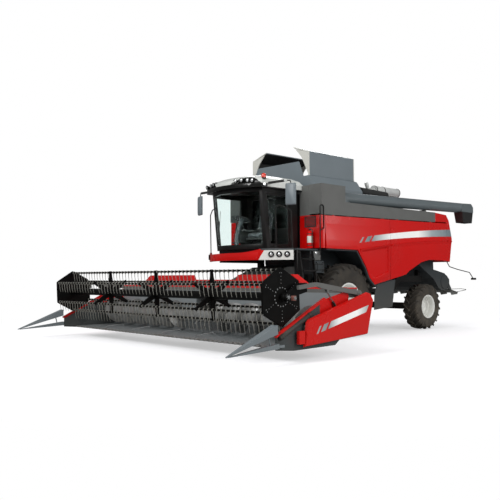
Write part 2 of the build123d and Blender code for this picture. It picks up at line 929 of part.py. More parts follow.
door_rear_y = -1420
door_hinge_y = door_rear_y + 5
door_front_low = pillar_low_y + 85
door_front_high = pillar_high_y + 95
with BuildPart() as cab_frame:
    loft([cab_outline(0, floor_z), cab_outline(0, cab_top)])
    loft([cab_outline(cab_wall, floor_z + 60), cab_outline(cab_wall, cab_top)], mode=Mode.SUBTRACT)
    # windscreen, door opening, right window and rear window
    block(
        (-cab_half + window_inset, cab_half - window_inset),
        (-2800, pillar_low_y + 40),
        (sill_z, head_z),
        mode=Mode.SUBTRACT,
    )
    opening = [
        (door_rear_y, floor_z + 60),
        (door_front_low, floor_z + 60),
        (door_front_high, head_z),
        (door_rear_y, head_z),
    ]
    side_plate(opening, (700, 1000), mode=Mode.SUBTRACT)
    side_plate(
        [(y, max(z, sill_z)) for y, z in opening],
        (-1000, -700),
        mode=Mode.SUBTRACT,
    )
    block((-700, 700), (cab_rear - 100, cab_rear + 50), (2700, head_z), mode=Mode.SUBTRACT)
    # frame side of the door hinges
    for station in door_hinge_stations:
        for low in (station - 30 - seat_gap, station + 80 + seat_gap):
            rod((door_hinge_x, door_hinge_y, low), (door_hinge_x, door_hinge_y, low + 30), door_hinge_r)
            block((cab_half - 2, door_hinge_x), (door_hinge_y, door_hinge_y + 10), (low, low + 30))
save(cab_frame, "cab_frame")

glass_t = 8
glass_half = cab_half - window_inset - seat_gap
glass_low, glass_high = sill_z + seat_gap, head_z - seat_gap
with BuildPart() as cab_windows:
    loft([cab_outline(12, glass_low), cab_outline(12, glass_high)])
    loft(
        [cab_outline(12 + glass_t, glass_low), cab_outline(12 + glass_t, glass_high)],
        mode=Mode.SUBTRACT,
    )
    block(
        (-glass_half, glass_half),
        (-2800, pillar_low_y + 40 - seat_gap),
        (sill_z, head_z),
        mode=Mode.INTERSECT,
    )
    side_plate(
        [
            (door_rear_y - seat_gap, glass_low),
            (door_front_low + 14, glass_low),
            (door_front_high + seat_gap, glass_high),
            (door_rear_y - seat_gap, glass_high),
        ],
        (-cab_half + 20, -cab_half + 20 + glass_t),
    )
    block(
        (-700 + seat_gap, 700 - seat_gap),
        (cab_rear - 28, cab_rear - 20),
        (2700 + seat_gap, glass_high),
    )
save(cab_windows, "cab_windows")

# Cab door: a frame with its pane, hinged at the rear post
with BuildPart() as cab_door:
    leaf_face = cab_half - 4
    side_plate(
        [
            (door_rear_y - door_gap, floor_z + 60 + door_gap),
            (door_front_low + door_gap, floor_z + 60 + door_gap),
            (door_front_high + door_gap, head_z - door_gap),
            (door_rear_y - door_gap, head_z - door_gap),
        ],
        (leaf_face - 34, leaf_face),
    )
    pane = [
        (door_rear_y - 60, floor_z + 130),
        (door_front_low + 55, floor_z + 130),
        (door_front_high + 60, head_z - 60),
        (door_rear_y - 60, head_z - 60),
    ]
    side_plate(pane, (leaf_face - 46, leaf_face + 9), mode=Mode.SUBTRACT)
    side_plate(
        [
            (door_rear_y - 55, floor_z + 125),
            (door_front_low + 50, floor_z + 125),
            (door_front_high + 55, head_z - 55),
            (door_rear_y - 55, head_z - 55),
        ],
        (leaf_face - 21, leaf_face - 13),
    )
    for station in door_hinge_stations:
        rod(
            (door_hinge_x, door_hinge_y, station),
            (door_hinge_x, door_hinge_y, station + 80),
            door_hinge_r,
        )
        strap = (station + 25, station + 55)
        block((leaf_face - 2, door_hinge_x), (door_rear_y - 60, door_rear_y - door_gap), strap)
        block((cab_half + 3, door_hinge_x), (door_rear_y - 20, door_hinge_y), strap)
    block((leaf_face - 2, cab_half + 30), (door_front_low - 45, door_front_low - 23), (2700, 2900))
save(cab_door, "cab_door")

# Cab roof: a domed cap with lamp recesses at the two front corners
roof_rear = -1060
roof_front = -2760
roof_corner = -2430


def roof_outline(inset, z):
    """Plan outline of the roof at a height."""
    with BuildSketch(Plane.XY.offset(z)) as plan:
        with BuildLine():
            back = Line((roof_half - inset, roof_rear - inset), (-roof_half + inset, roof_rear - inset))
            left = Line(back @ 1, (-roof_half + inset, roof_corner + inset))
            front = ThreePointArc(
                left @ 1,
                (0, roof_front + inset * 1.6),
                (roof_half - inset, roof_corner + inset),
            )
            Line(front @ 1, back @ 0)
        make_face()
    return plan.sketch


roof_levels = ((0, cab_top), (0, 3700), (60, 3790), (190, 3860), (420, 3895))
with BuildPart() as cab_roof:
    for (inset_low, z_low), (inset_high, z_high) in zip(roof_levels, roof_levels[1:]):
        loft([roof_outline(inset_low, z_low), roof_outline(inset_high, z_high)])
    for side_name, sign in sides:
        front_plate(
            [
                (sign * 260, 3660),
                (sign * 880, 3650),
                (sign * 800, 3740),
                (sign * 620, 3800),
                (sign * 420, 3770),
            ],
            (-2800, -2560),
            mode=Mode.SUBTRACT,
        )
save(cab_roof, "cab_roof")

# Driver seat and steering column
with BuildPart() as driver_station:
    seat_low = floor_z + 60 + seat_gap
    block((-180, 180), (-1680, -1320), (seat_low, floor_z + 310))
    block((-260, 260), (-1850, -1330), (floor_z + 300, floor_z + 430))
    side_plate([(-1400, 2570), (-1250, 3180), (-1350, 3200), (-1520, 2570)], (-240, 240))
    block((210, 300), (-1900, -1400), (2560, 2680))
    block((-300, -210), (-1900, -1400), (2560, 2680))
    block((-90, 90), (-2420, -2260), (seat_low, seat_low + 40))
    rod((0, -2330, seat_low + 20), (0, -2150, 2860), 45)
    rod((0, -2150, 2860), (0, -2140, 2900), 40)
    with Locations(Plane(origin=(0, -2140, 2890), z_dir=(0, 0.35, 0.94))):
        Torus(190, 16)
        Box(360, 30, 20)
save(driver_station, "driver_station")

# Cab base and the left platform, with its front edge on the slant of the lamp panel
deck_high = floor_z - 5
deck_plate_t = 40
platform_in = cab_half + 15
platform_out = 1600
platform_front = -2060
platform_rear = body_front_y - 15
ladder_x = platform_out + 45
ladder_y = -1950
ladder_post_r = 22
ladder_w = 480
beam_y = ladder_y + ladder_w + 30  # clear of the ladder's rear corner as it turns
with BuildPart() as cab_platform:
    block((-860, 860), (-2150, -1060), (cab_base_low, floor_z - seat_gap))
    with BuildSketch(Plane.XY.offset(deck_high - deck_plate_t)) as deck:
        with BuildLine():
            Polyline(
                (platform_in, platform_rear),
                (platform_out, platform_rear),
                (platform_out, platform_front + 20),
                (1010, -2410),
                (platform_in, -2440),
                close=True,
            )
        make_face()
    extrude(deck.sketch, amount=deck_plate_t)
    block((855, platform_in + 5), (-2140, platform_rear), (deck_high - 120, deck_high - 35))
    block((platform_in, 1560), (beam_y, beam_y + 40), (deck_high - 120, deck_high - 35))
    block((1020, 1500), (-1400, -1130), (1560, deck_high - 35))
    block(
        (platform_out - 5, ladder_x + 38),
        (ladder_y - 38, ladder_y + 38),
        (deck_high - deck_plate_t, deck_high),
    )
    rod(
        (ladder_x, ladder_y, deck_high - 60),
        (ladder_x, ladder_y, deck_high + 5),
        ladder_post_r + axle_gap,
        mode=Mode.SUBTRACT,
    )
save(cab_platform, "cab_platform")

bumper_low = 1885
bumper_high = 2060
lamp_panel_high = deck_high - deck_plate_t - seat_gap
bow_front = -2620
with BuildPart() as front_bumper:
    with BuildSketch(Plane.XY.offset(bumper_low)) as band:
        with BuildLine():
            outer = ThreePointArc((-1060, -2290), (-60, bow_front), (960, -2452))
            Line(outer @ 1, (960, -2390))
            inner = ThreePointArc((960, -2390), (-60, bow_front + 62), (-1060, -2228))
            Line(inner @ 1, outer @ 0)
        make_face()
    extrude(band.sketch, amount=bumper_high - bumper_low)
    for x in (-620, 620):
        block((x - 40, x + 40), (-2500, -2150 - seat_gap), (1965, 2035))
    # lamp panels, one slanted along the platform's front edge and one on the right
    for corners in (
        [(955, -2455), (1625, -2062), (1590, -2010), (955, -2385)],
        [(-1055, -2290), (-1055, -2225), (-1180, -2140), (-1200, -2190)],
    ):
        with BuildSketch(Plane.XY.offset(bumper_low)) as panel:
            with BuildLine():
                Polyline(*corners, close=True)
            make_face()
        extrude(panel.sketch, amount=lamp_panel_high - bumper_low)
save(front_bumper, "front_bumper")

# Handrails in bent tube, and the mirrors on arms from the roof
mirror_x = 1636
mirror_y = -2142
mirror_z = (3115, 3595)
mirror_turn = 17.5
rail_x = body_half + 14
with BuildPart() as handrails:
    rail(
        [
            (1560, -2020, deck_high + 5),
            (1560, -2060, 3010),
            (1230, -2230, 3170),
            (1230, -2215, deck_high + 5),
        ],
        16,
        90,
    )
    for x, y, z in (
        (1560, -2020, deck_high),
        (1230, -2215, deck_high),
        (-1115, -2212, lamp_panel_high),
    ):
        rod((x, y, z + seat_gap), (x, y, z + 10), 22)
    rail(
        [
            (rail_x, -1190, 2000),
            (rail_x, -1180, 3180),
            (rail_x, -1060, 3180),
            (rail_x, -1050, 2640),
            (rail_x, -1165, 2590),
        ],
        14,
        50,
    )
    block((platform_out + seat_gap, rail_x), (-1204, -1176), (deck_high - 35, deck_high - 5))
    rail(
        [
            (-1115, -2212, lamp_panel_high + 5),
            (-1100, -2240, 3060),
            (-1020, -2235, 3200),
            (-cab_half - seat_gap, -2235, 3200),
        ],
        13,
        60,
    )
    for side_name, sign in sides:
        rail(
            [
                (sign * (roof_half + seat_gap), -2220, 3665),
                (sign * 1300, -2220, 3665),
                (sign * mirror_x, mirror_y, 3665),
                (sign * mirror_x, mirror_y, mirror_z[1] - 5),
            ],
            12,
            50,
        )
        with Locations(Location((sign * mirror_x, mirror_y, sum(mirror_z) / 2), (0, 0, sign * mirror_turn))):
            Box(240, 20, mirror_z[1] - mirror_z[0])
save(handrails, "handrails")

# Access ladder below the platform, turning about its front outer post
ladder_lean = 240
ladder_top = deck_high - 50
ladder_foot = 480
with BuildPart() as ladder:
    rod((ladder_x, ladder_y, ladder_top - 560), (ladder_x, ladder_y, deck_high - 5), ladder_post_r)
    for y in (ladder_y + 40, ladder_y + ladder_w):
        front_plate(
            [
                (ladder_x - 20, ladder_top),
                (ladder_x + 40, ladder_top),
                (ladder_x + ladder_lean + 60, ladder_foot),
                (ladder_x + ladder_lean - 20, ladder_foot),
            ],
            (y - 12, y + 12),
        )
    for step in range(6):
        z = ladder_foot + 60 + step * 270
        x = ladder_x + 10 + ladder_lean * (ladder_top - z) / (ladder_top - ladder_foot)
        block((x - 70, x + 70), (ladder_y + 50, ladder_y + ladder_w - 10), (z, z + 25))
    block((ladder_x - 20, ladder_x + 40), (ladder_y, ladder_y + 40), (ladder_top - 60, ladder_top - 20))
    block((ladder_x - 20, ladder_x + 60), (ladder_y, ladder_y + 40), (ladder_top - 540, ladder_top - 500))
save(ladder, "access_ladder")

# Rear lamps on curved arms from the rear hood


def hood_face(z):
    """Outer face of the rear hood's lower rear wall."""
    return 4500 + (z - 1910) * (4630 - 4500) / (2580 - 1910)


with BuildPart() as rear_lamps:
    for side_name, sign in sides:
        side_plate(
            [
                (hood_face(1920) + seat_gap, 1920),
                (hood_face(2010) + seat_gap, 2010),
                (hood_face(2010) + 22, 2010),
                (hood_face(1920) + 22, 1920),
            ],
            (sign * 1465, sign * 1535),
        )
        rail(
            [
                (sign * 1500, hood_face(1960) + 12, 1960),
                (sign * 1500, 4700, 1780),
                (sign * 1530, 5100, 1700),
                (sign * 1580, 5700, 1610),
                (sign * 1590, 5880, 1440),
            ],
            13,
            90,
        )
        block((sign * 1540, sign * 1650), (5850, 5970), (1385, 1445))
save(rear_lamps, "rear_lamps")

# Feeder house, hinged at its rear top edge, with the lift cylinders' lugs below
feeder_front = -2725
feeder_low_rear = (-1000, 1130)
feeder_low_front = (feeder_front, 400)


def feeder_floor(y):
    slope = (feeder_low_front[1] - feeder_low_rear[1]) / (feeder_low_front[0] - feeder_low_rear[0])
    return feeder_low_rear[1] + slope * (y - feeder_low_rear[0])


with BuildPart() as feeder_house:
    side_plate(
        [
            (-680, 1760),
            (-680, 1330),
            feeder_low_rear,
            feeder_low_front,
            (feeder_front, 1110),
            (-1250, 1740),
        ],
        (-feeder_half, feeder_half),
    )
    side_plate(
        [
            (-600, 1700),
            (-600, 1390),
            (-980, 1190),
            (feeder_front - 10, 470),
            (feeder_front - 10, 1040),
            (-1230, 1690),
        ],
        (-feeder_half + 40, feeder_half - 40),
        mode=Mode.SUBTRACT,
    )
    for side_name, sign in sides:
        rod(
            (sign * (feeder_half - 5), hinge_y, hinge_z),
            (sign * (rail_in - 20), hinge_y, hinge_z),
            45,
        )
        x = sign * lift_x
        rod(at_x(x - 60, lift_eye), at_x(x + 60, lift_eye), pin_r)
        for cheek in (-48, 48):
            side_plate(
                [
                    (lift_eye[0] - 50, lift_eye[1] - 40),
                    (lift_eye[0] + 50, lift_eye[1] - 40),
                    (lift_eye[0] + 90, feeder_floor(lift_eye[0] + 90) + 5),
                    (lift_eye[0] - 90, feeder_floor(lift_eye[0] - 90) + 5),
                ],
                (x + cheek - 12, x + cheek + 12),
            )
save(feeder_house, "feeder_house")

# Header: trough, back wall and adapter frame
table_out = header_half
arc_in = trough_r
arc_out = trough_r + sheet_t
with BuildPart() as header_table:
    with BuildSketch(Plane.YZ.offset(-table_out)) as section:
        with BuildLine():
            floor_in = Line((knife_y + 20, knife_z + 6), (auger_y, auger_z - arc_in))
            curve_in = ThreePointArc(
                floor_in @ 1,
                (auger_y + arc_in * cos(radians(45)), auger_z - arc_in * sin(radians(45))),
                (auger_y + arc_in, auger_z),
            )
            wall_in = Line(curve_in @ 1, (auger_y + arc_in, 1235))
            top = Line(wall_in @ 1, (auger_y + arc_out, 1235))
            wall_out = Line(top @ 1, (auger_y + arc_out, auger_z))
            curve_out = ThreePointArc(
                wall_out @ 1,
                (auger_y + arc_out * cos(radians(45)), auger_z - arc_out * sin(radians(45))),
                (auger_y, auger_z - arc_out),
            )
            floor_out = Line(curve_out @ 1, (knife_y + 20, knife_z - 26))
            Line(floor_out @ 1, floor_in @ 0)
        make_face()
    extrude(section.sketch, amount=2 * table_out)
    back_y = auger_y + arc_out
    block((-660, 660), (back_y - 5, feeder_front - seat_gap), (380, 1150))
    block((-580, 580), (back_y - 120, feeder_front + 50), (470, 1060), mode=Mode.SUBTRACT)
    # uprights behind the wall
    for x in (-3000, -2200, -1400, 1400, 2200, 3000):
        side_plate(
            [(back_y - 2, 600), (back_y + 90, 640), (back_y + 90, 1230), (back_y - 2, 1230)],
            (x - 25, x + 25),
        )
    # red beam above the back wall, with the posts that hold the reel arm pins
    beam_front = back_y - 20
    beam_back = back_y + 150
    beam_low = 1230
    beam_high = 1550
    notch_z = 1440
    front_plate(
        mirrored(
            [
                (table_out, beam_low),
                (table_out, beam_low + 66),
                (2960, beam_low + 76),
                (2560, beam_high),
                (880, beam_high),
                (820, notch_z),
            ]
        ),
        (beam_front, beam_back),
    )
    for side_name, sign in sides:
        block(
            (sign * (header_half - 60), sign * (header_half - seat_gap)),
            (beam_back - 20, arm_pivot_y + 45),
            (1100, beam_low + 60),
        )
        rod(
            (sign * (header_half - 5), arm_pivot_y, arm_pivot_z),
            (sign * (arm_x + 60), arm_pivot_y, arm_pivot_z),
            pin_r,
        )
save(header_table, "header_table")

# Cutterbar: knife back with guards
with BuildPart() as cutterbar:
    block((-table_out, table_out), (knife_y - 60, knife_y + 20), (knife_z - 26, knife_z + 6))
    guards = 50
    guard_reach = table_out - 116
    for i in range(guards):
        x = guard_reach * (2 * i / (guards - 1) - 1)
        side_plate(
            [
                (knife_y - 60, knife_z - 22),
                (knife_y - 60, knife_z + 14),
                (knife_y - 100, knife_z + 12),
                (knife_y - 180, knife_z - 12),
            ],
            (x - 12, x + 12),
        )
save(cutterbar, "cutterbar")

# Header ends: sheet with red trim, a frame for the cover, and the drive tube
cover_face = header_half + 110
with BuildPart() as header_ends:
    for side_name, sign in sides:
        inside = header_half
        outside = header_half + end_sheet_t
        side_plate(
            [
                (-4830, 250),
                (-4830, 470),
                (-3600, 1080),
                (beam_back, 1230),
                (beam_back, 520),
                (-3300, 235),
                (-4400, 215),
            ],
            (sign * inside, sign * outside),
        )
        side_plate(
            [(-4850, 470), (-3600, 1076), (-3600, 1118), (-4864, 502)],
            (sign * inside, sign * (outside + 32)),
        )
        rod(
            (sign * (inside - 5), auger_y, auger_z),
            (sign * (outside + 5), auger_y, auger_z),
            30 + axle_gap,
            mode=Mode.SUBTRACT,
        )
        # lower member, two posts and the upper strip behind the cover
        side_plate(
            [(-4200, 290), (-2700, 400), (-2700, 440), (-4200, 330)],
            (sign * (outside - 5), sign * (cover_face - seat_gap)),
        )
        block((sign * (outside - 5), sign * (cover_face - seat_gap)), (-2960, -2910), (430, 1010))
        block((sign * (outside - 5), sign * (cover_face - seat_gap)), (-4180, -4130), (320, 640))
        side_plate(
            [(-4200, 610), (-2600, 1072), (-2600, 1112), (-4210, 650)],
            (sign * (cover_face - 12), sign * (cover_face - seat_gap)),
        )
        drive_tube_x = sign * (inside + 66)
        rod((drive_tube_x, -4780, 459), (drive_tube_x, -4000, 840), 42)
        rod(at_x(sign * (outside - 5), reel_lift_base), at_x(sign * (arm_x + 26), reel_lift_base), 14)
save(header_ends, "header_ends")

with BuildPart() as end_covers:
    for side_name, sign in sides:
        with BuildSketch(Plane.YZ.offset(sign * cover_face)) as outline:
            with BuildLine():
                Polyline(
                    (-4260, 270),
                    (-4190, 700),
                    (-4140, 750),
                    (-2480, 1200),
                    (-2400, 1185),
                    (-2300, 1050),
                    (-2490, 390),
                    close=True,
                )
            make_face()
        extrude(outline.sketch, amount=sign * 60, taper=20)
        block(
            (sign * (cover_face - 30), sign * (cover_face + 40)),
            (-4385, -4240),
            (330, 560),
        )
save(end_covers, "end_covers")

# Crop dividers ahead of the end sheets
with BuildPart() as dividers:
    for side_name, sign in sides:
        with BuildSketch(Plane.XZ.offset(6010)):
            with Locations((sign * (header_half + 100), 240)):
                Rectangle(30, 16)
        with BuildSketch(Plane.XZ.offset(4880)):
            with Locations((sign * (header_half + 40), 610)):
                Rectangle(170, 150)
        loft()
        with BuildSketch(Plane.XZ.offset(5960)):
            with Locations((sign * (header_half + 98), 238)):
                Rectangle(30, 12)
        with BuildSketch(Plane.XZ.offset(4840)):
            with Locations((sign * (header_half + 60), 330)):
                Rectangle(110, 90)
        loft()
        foot_in = header_half + end_sheet_t + seat_gap
        block((sign * foot_in, sign * (header_half + 100)), (-4900, -4700), (300, 345))
        rod((sign * (header_half + 60), -5000, 330), (sign * (header_half + 60), -5060, 560), 12)
save(dividers, "dividers")

# Table auger: core with left and right flights that carry to the middle
auger_half = header_half - 30
flight_t = 8
flight_inner = 620
with BuildPart() as table_auger:
    rod((-auger_half, auger_y, auger_z), (auger_half, auger_y, auger_z), auger_core_r)
    rod((-header_half - 20, auger_y, auger_z), (header_half + 20, auger_y, auger_z), 30)
    for side_name, sign in sides:
        centre = (sign * flight_inner, auger_y, auger_z)
        mean_r = (auger_r + auger_core_r - 4) / 2
        with BuildLine() as path:
            Helix(
                pitch=auger_pitch,
                height=auger_half - flight_inner - 30,
                radius=mean_r,
                center=centre,
                direction=(sign, 0, 0),
                lefthand=sign > 0,
            )
        start = path.line @ 0
        out = start - Vector(*centre)
        with BuildSketch(Plane(origin=start, x_dir=out, z_dir=path.line % 0)) as section:
            Rectangle(auger_r - auger_core_r + 4, flight_t)
        sweep(section.sketch, path=path.line, is_frenet=True)
    for i in range(10):
        angle = radians(36 * i)
        x = -500 + 111 * i
        rod(
            (x, auger_y, auger_z),
            (x, auger_y + (auger_r - 20) * cos(angle), auger_z + (auger_r - 20) * sin(angle)),
            9,
        )
save(table_auger, "table_auger")

# Reel arms: rear pivot, raised middle and a straight front that the carriers slide on
arm_t = 30
with BuildPart() as reel_arms:
    for side_name, sign in sides:
        side_plate(
            [
                (-2600, 1140),
                (-3690, 1280),
                (-3860, 1325),
                (-4330, 1275),
                (-4330, 1345),
                (-3870, 1400),
                (-3700, 1380),
                (-2600, 1220),
            ],
            (sign * (arm_x - arm_t), sign * (arm_x + arm_t)),
        )
        hub = (sign * (arm_x - 38), sign * (arm_x + 38))
        rod((hub[0], arm_pivot_y, arm_pivot_z), (hub[1], arm_pivot_y, arm_pivot_z), 60)
        rod(
            (sign * (arm_x - 45), arm_pivot_y, arm_pivot_z),
            (sign * (arm_x + 45), arm_pivot_y, arm_pivot_z),
            pin_r + axle_gap,
            mode=Mode.SUBTRACT,
        )
        # pin of the reel lift cylinder, between two cheeks below the arm
        rod(at_x(sign * (arm_x - arm_t), reel_lift_eye), at_x(sign * (arm_x + arm_t), reel_lift_eye), 12)
        for cheek in (-25, 25):
            side_plate(
                [
                    (reel_lift_eye[0] - 20, reel_lift_eye[1] - 20),
                    (reel_lift_eye[0] + 20, reel_lift_eye[1] - 20),
                    (reel_lift_eye[0] + 40, 1275),
                    (reel_lift_eye[0] - 40, 1285),
                ],
                (sign * (arm_x + cheek - 5), sign * (arm_x + cheek + 5)),
            )
save(reel_arms, "reel_arms")

# Carriers on the arms, holding the reel shaft, with the ring's fixed hub on the right
carrier_out = arm_x - arm_t - seat_gap
carrier_in = carrier_out - 22
crank_x = reel_plate_x + 6
ring_in = crank_x + 18
ring_bore_r = 150
shaft_end = arm_x - 22
with BuildPart() as reel_carriers:
    for side_name, sign in sides:
        side_plate(
            [
                (-4060, 1395),
                (-4060, 1230),
                (-4300, 1180),
                (reel_y - 20, reel_z - 60),
                (reel_y - 70, reel_z + 10),
                (reel_y + 20, reel_z + 70),
                (-4300, 1390),
            ],
            (sign * carrier_in, sign * carrier_out),
        )
        rod((sign * carrier_in, reel_y, reel_z), (sign * (arm_x + 10), reel_y, reel_z), 75)
    rod(
        (-carrier_out, reel_y + crank_length, reel_z),
        (-ring_in, reel_y + crank_length, reel_z),
        ring_bore_r - axle_gap,
    )
    for side_name, sign in sides:
        rod(
            (sign * (ring_in - 5), reel_y, reel_z),
            (sign * (arm_x - 20), reel_y, reel_z),
            35 + axle_gap,
            mode=Mode.SUBTRACT,
        )
save(reel_carriers, "reel_carriers")

# Reel: shaft tube, six sided end plates and spiders with six tapered arms
bar_angles = [90 + 2.6 + 60 * i for i in range(6)]


def bar_spot(angle, radius):
    """Place of a bar about the reel shaft; angles turn from the rear to up."""
    return (reel_y + radius * cos(radians(angle)), reel_z + radius * sin(radians(angle)))


with BuildPart() as reel:
    rod((-reel_plate_x, reel_y, reel_z), (reel_plate_x, reel_y, reel_z), 80)
    rod((-shaft_end, reel_y, reel_z), (shaft_end, reel_y, reel_z), 35)
    for sign in (1, -1):
        side_plate(
            [bar_spot(angle, reel_plate_r) for angle in bar_angles],
            (sign * (reel_plate_x - reel_plate_t), sign * reel_plate_x),
        )
    for x in (-1900, 0, 1900):
        rod((x - 20, reel_y, reel_z), (x + 20, reel_y, reel_z), 130)
        for angle in bar_angles:
            across = angle + 90
            root = bar_spot(angle, 90)
            tip = bar_spot(angle, reel_bar_r + 30)
            dy, dz = cos(radians(across)), sin(radians(across))
            side_plate(
                [
                    (root[0] + 62 * dy, root[1] + 62 * dz),
                    (tip[0] + 34 * dy, tip[1] + 34 * dz),
                    (tip[0] - 34 * dy, tip[1] - 34 * dz),
                    (root[0] - 62 * dy, root[1] - 62 * dz),
                ],
                (x - 6, x + 6),
            )
    for angle in bar_angles:
        y, z = bar_spot(angle, reel_bar_r)
        rod(
            (-reel_plate_x - 10, y, z),
            (reel_plate_x + 10, y, z),
            bar_tube_r + axle_gap,
            mode=Mode.SUBTRACT,
        )
save(reel, "reel")

# Tine bars: each keeps its tines hanging as the reel turns
tine_w = 7
for i, angle in enumerate(bar_angles, 1):
    y, z = bar_spot(angle, reel_bar_r)
    with BuildPart() as tine_bar:
        rod((-crank_x - 12, y, z), (reel_plate_x + 4, y, z), bar_tube_r)
        block((-crank_x - 12, -crank_x), (y, y + crank_length), (z - 14, z + 14))
        rod((-crank_x - 34, y + crank_length, z), (-crank_x, y + crank_length, z), 10)
        count = int(2 * (reel_plate_x - 90) / tine_pitch)
        for k in range(count + 1):
            x = -count * tine_pitch / 2 + k * tine_pitch
            if min(abs(x - station) for station in (-1900, 0, 1900)) < 30:
                x += 45
            side_plate(
                [
                    (y - 4, z - bar_tube_r + 3),
                    (y + 6, z - bar_tube_r + 3),
                    (y + 34, z - tine_length),
                    (y + 27, z - tine_length),
                ],
                (x - tine_w / 2, x + tine_w / 2),
            )
    save(tine_bar, f"tine_bar_{i}")

# Eccentric ring that steers the cranks, on the right end
with BuildPart() as eccentric_ring:
    centre_y = reel_y + crank_length
    rod((-ring_in - 12, centre_y, reel_z), (-ring_in, centre_y, reel_z), 190)
    for angle in bar_angles:
        y, z = bar_spot(angle, reel_bar_r)
        y += crank_length
        across = radians(angle + 90)
        root = (centre_y + 150 * cos(radians(angle)), reel_z + 150 * sin(radians(angle)))
        side_plate(
            [
                (root[0] + 26 * cos(across), root[1] + 26 * sin(across)),
                (y + 18 * cos(across), z + 18 * sin(across)),
                (y - 18 * cos(across), z - 18 * sin(across)),
                (root[0] - 26 * cos(across), root[1] - 26 * sin(across)),
            ],
            (-ring_in - 12, -ring_in),
        )
        rod((-ring_in - 12, y, z), (-ring_in, y, z), 24)
        rod((-ring_in - 14, y, z), (-ring_in + 2, y, z), 10 + axle_gap, mode=Mode.SUBTRACT)
    rod(
        (-ring_in - 14, centre_y, reel_z),
        (-ring_in + 2, centre_y, reel_z),
        ring_bore_r,
        mode=Mode.SUBTRACT,
    )
save(eccentric_ring, "eccentric_ring")

# Lift cylinders: a pair of barrels on pins, and their rods with open eyes


def cylinder_pair(name, x, base, eye, barrel, piston, eye_r, bore_r, pin, width, strokes):
    """Barrels and rods of a left and a right cylinder.

    barrel and piston are radii, and strokes gives the distances from the base pin to the
    tube's start, the bore's start, the rod's inner end and the tube's mouth.
    """
    tube_from, bore_from, rod_from, mouth = strokes
    with BuildPart() as barrels:
        for side_name, sign in sides:
            middle = sign * x
            rod(at_x(middle - width, base), at_x(middle + width, base), eye_r)
            rod(at_x(middle, base), at_x(middle, along(base, eye, tube_from + 5)), 0.5 * barrel)
            rod(at_x(middle, along(base, eye, tube_from)), at_x(middle, along(base, eye, mouth)), barrel)
            rod(
                at_x(middle - width - 1, base),
                at_x(middle + width + 1, base),
                pin + axle_gap,
                mode=Mode.SUBTRACT,
            )
            rod(
                at_x(middle, along(base, eye, bore_from)),
                at_x(middle, along(base, eye, mouth + 1)),
                piston + axle_gap,
                mode=Mode.SUBTRACT,
            )
    save(barrels, f"{name}_barrels")
    with BuildPart() as rods:
        for side_name, sign in sides:
            middle = sign * x
            rod(at_x(middle, along(base, eye, rod_from)), at_x(middle, eye), piston)
            rod(at_x(middle - width, eye), at_x(middle + width, eye), eye_r)
            reach = max(width, piston) + 1
            rod(at_x(middle - reach, eye), at_x(middle + reach, eye), bore_r, mode=Mode.SUBTRACT)
    save(rods, f"{name}_rods")


cylinder_pair("lift", lift_x, lift_base, lift_eye, 55, 32, 48, 36, pin_r, 30, (90, 300, 800, 1150))
cylinder_pair("reel_lift", arm_x, reel_lift_base, reel_lift_eye, 24, 13, 26, 18, 14, 15, (45, 90, 200, 520))
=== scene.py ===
import math

import bmesh
import bpy
from mathutils import Matrix, Vector
from mathutils.bvhtree import BVHTree


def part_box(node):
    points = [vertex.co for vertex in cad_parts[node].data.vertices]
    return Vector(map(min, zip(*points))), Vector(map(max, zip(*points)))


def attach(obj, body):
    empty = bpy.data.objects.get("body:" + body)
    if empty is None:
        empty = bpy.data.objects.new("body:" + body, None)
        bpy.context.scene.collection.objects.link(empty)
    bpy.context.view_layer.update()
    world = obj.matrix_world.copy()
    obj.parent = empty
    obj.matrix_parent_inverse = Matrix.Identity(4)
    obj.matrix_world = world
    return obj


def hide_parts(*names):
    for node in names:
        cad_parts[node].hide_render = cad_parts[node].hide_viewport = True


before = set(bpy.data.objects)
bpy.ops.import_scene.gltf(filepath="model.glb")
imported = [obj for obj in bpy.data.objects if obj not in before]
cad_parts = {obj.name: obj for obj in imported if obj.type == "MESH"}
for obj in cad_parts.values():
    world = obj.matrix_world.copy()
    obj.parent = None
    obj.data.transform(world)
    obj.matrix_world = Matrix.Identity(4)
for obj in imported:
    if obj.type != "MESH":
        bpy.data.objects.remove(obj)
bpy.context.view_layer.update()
print("frame loaded:", len(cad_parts), "nodes")

sides = (("left", 1), ("right", -1))

# Camera at the photograph's viewpoint: degrees, metres, and the lens and its sensor in millimetres
cameraLook = {
    "place": (11.801, -12.670, 1.501),
    "azimuth": 47.596,
    "pitch": 2.352,
    "roll": -0.228,
    "lens": 47.16,
    "sensor": 36,
    "farthest": 200,
}


def addObject(name, data):
    piece = bpy.data.objects.new(name, data)
    bpy.context.collection.objects.link(piece)
    return piece


def makeCamera():
    look = cameraLook
    azimuth, pitch, roll = (math.radians(look[key]) for key in ("azimuth", "pitch", "roll"))
    flat = math.cos(pitch)
    ahead = Vector((-math.sin(azimuth) * flat, math.cos(azimuth) * flat, math.sin(pitch)))
    level = Vector((math.cos(azimuth), math.sin(azimuth), 0))
    upright = level.cross(ahead)
    right = level * math.cos(roll) + upright * math.sin(roll)
    up = upright * math.cos(roll) - level * math.sin(roll)
    lens = bpy.data.cameras.new("camera")
    lens.lens = look["lens"]
    lens.sensor_width = look["sensor"]
    lens.clip_end = look["farthest"]
    camera = addObject("camera", lens)
    camera.matrix_world = Matrix((right, up, -ahead)).transposed().to_4x4()
    camera.location = look["place"]
    bpy.context.scene.camera = camera


makeCamera()
print("camera set")


# Finishes


def hexToLinear(code):
    channels = [int(code[i:i + 2], 16) / 255 for i in (1, 3, 5)]
    return tuple(c / 12.92 if c <= 0.04045 else ((c + 0.055) / 1.055) ** 2.4 for c in channels) + (1,)


def emptyTree(owner):
    owner.use_nodes = True
    owner.node_tree.nodes.clear()
    return owner.node_tree


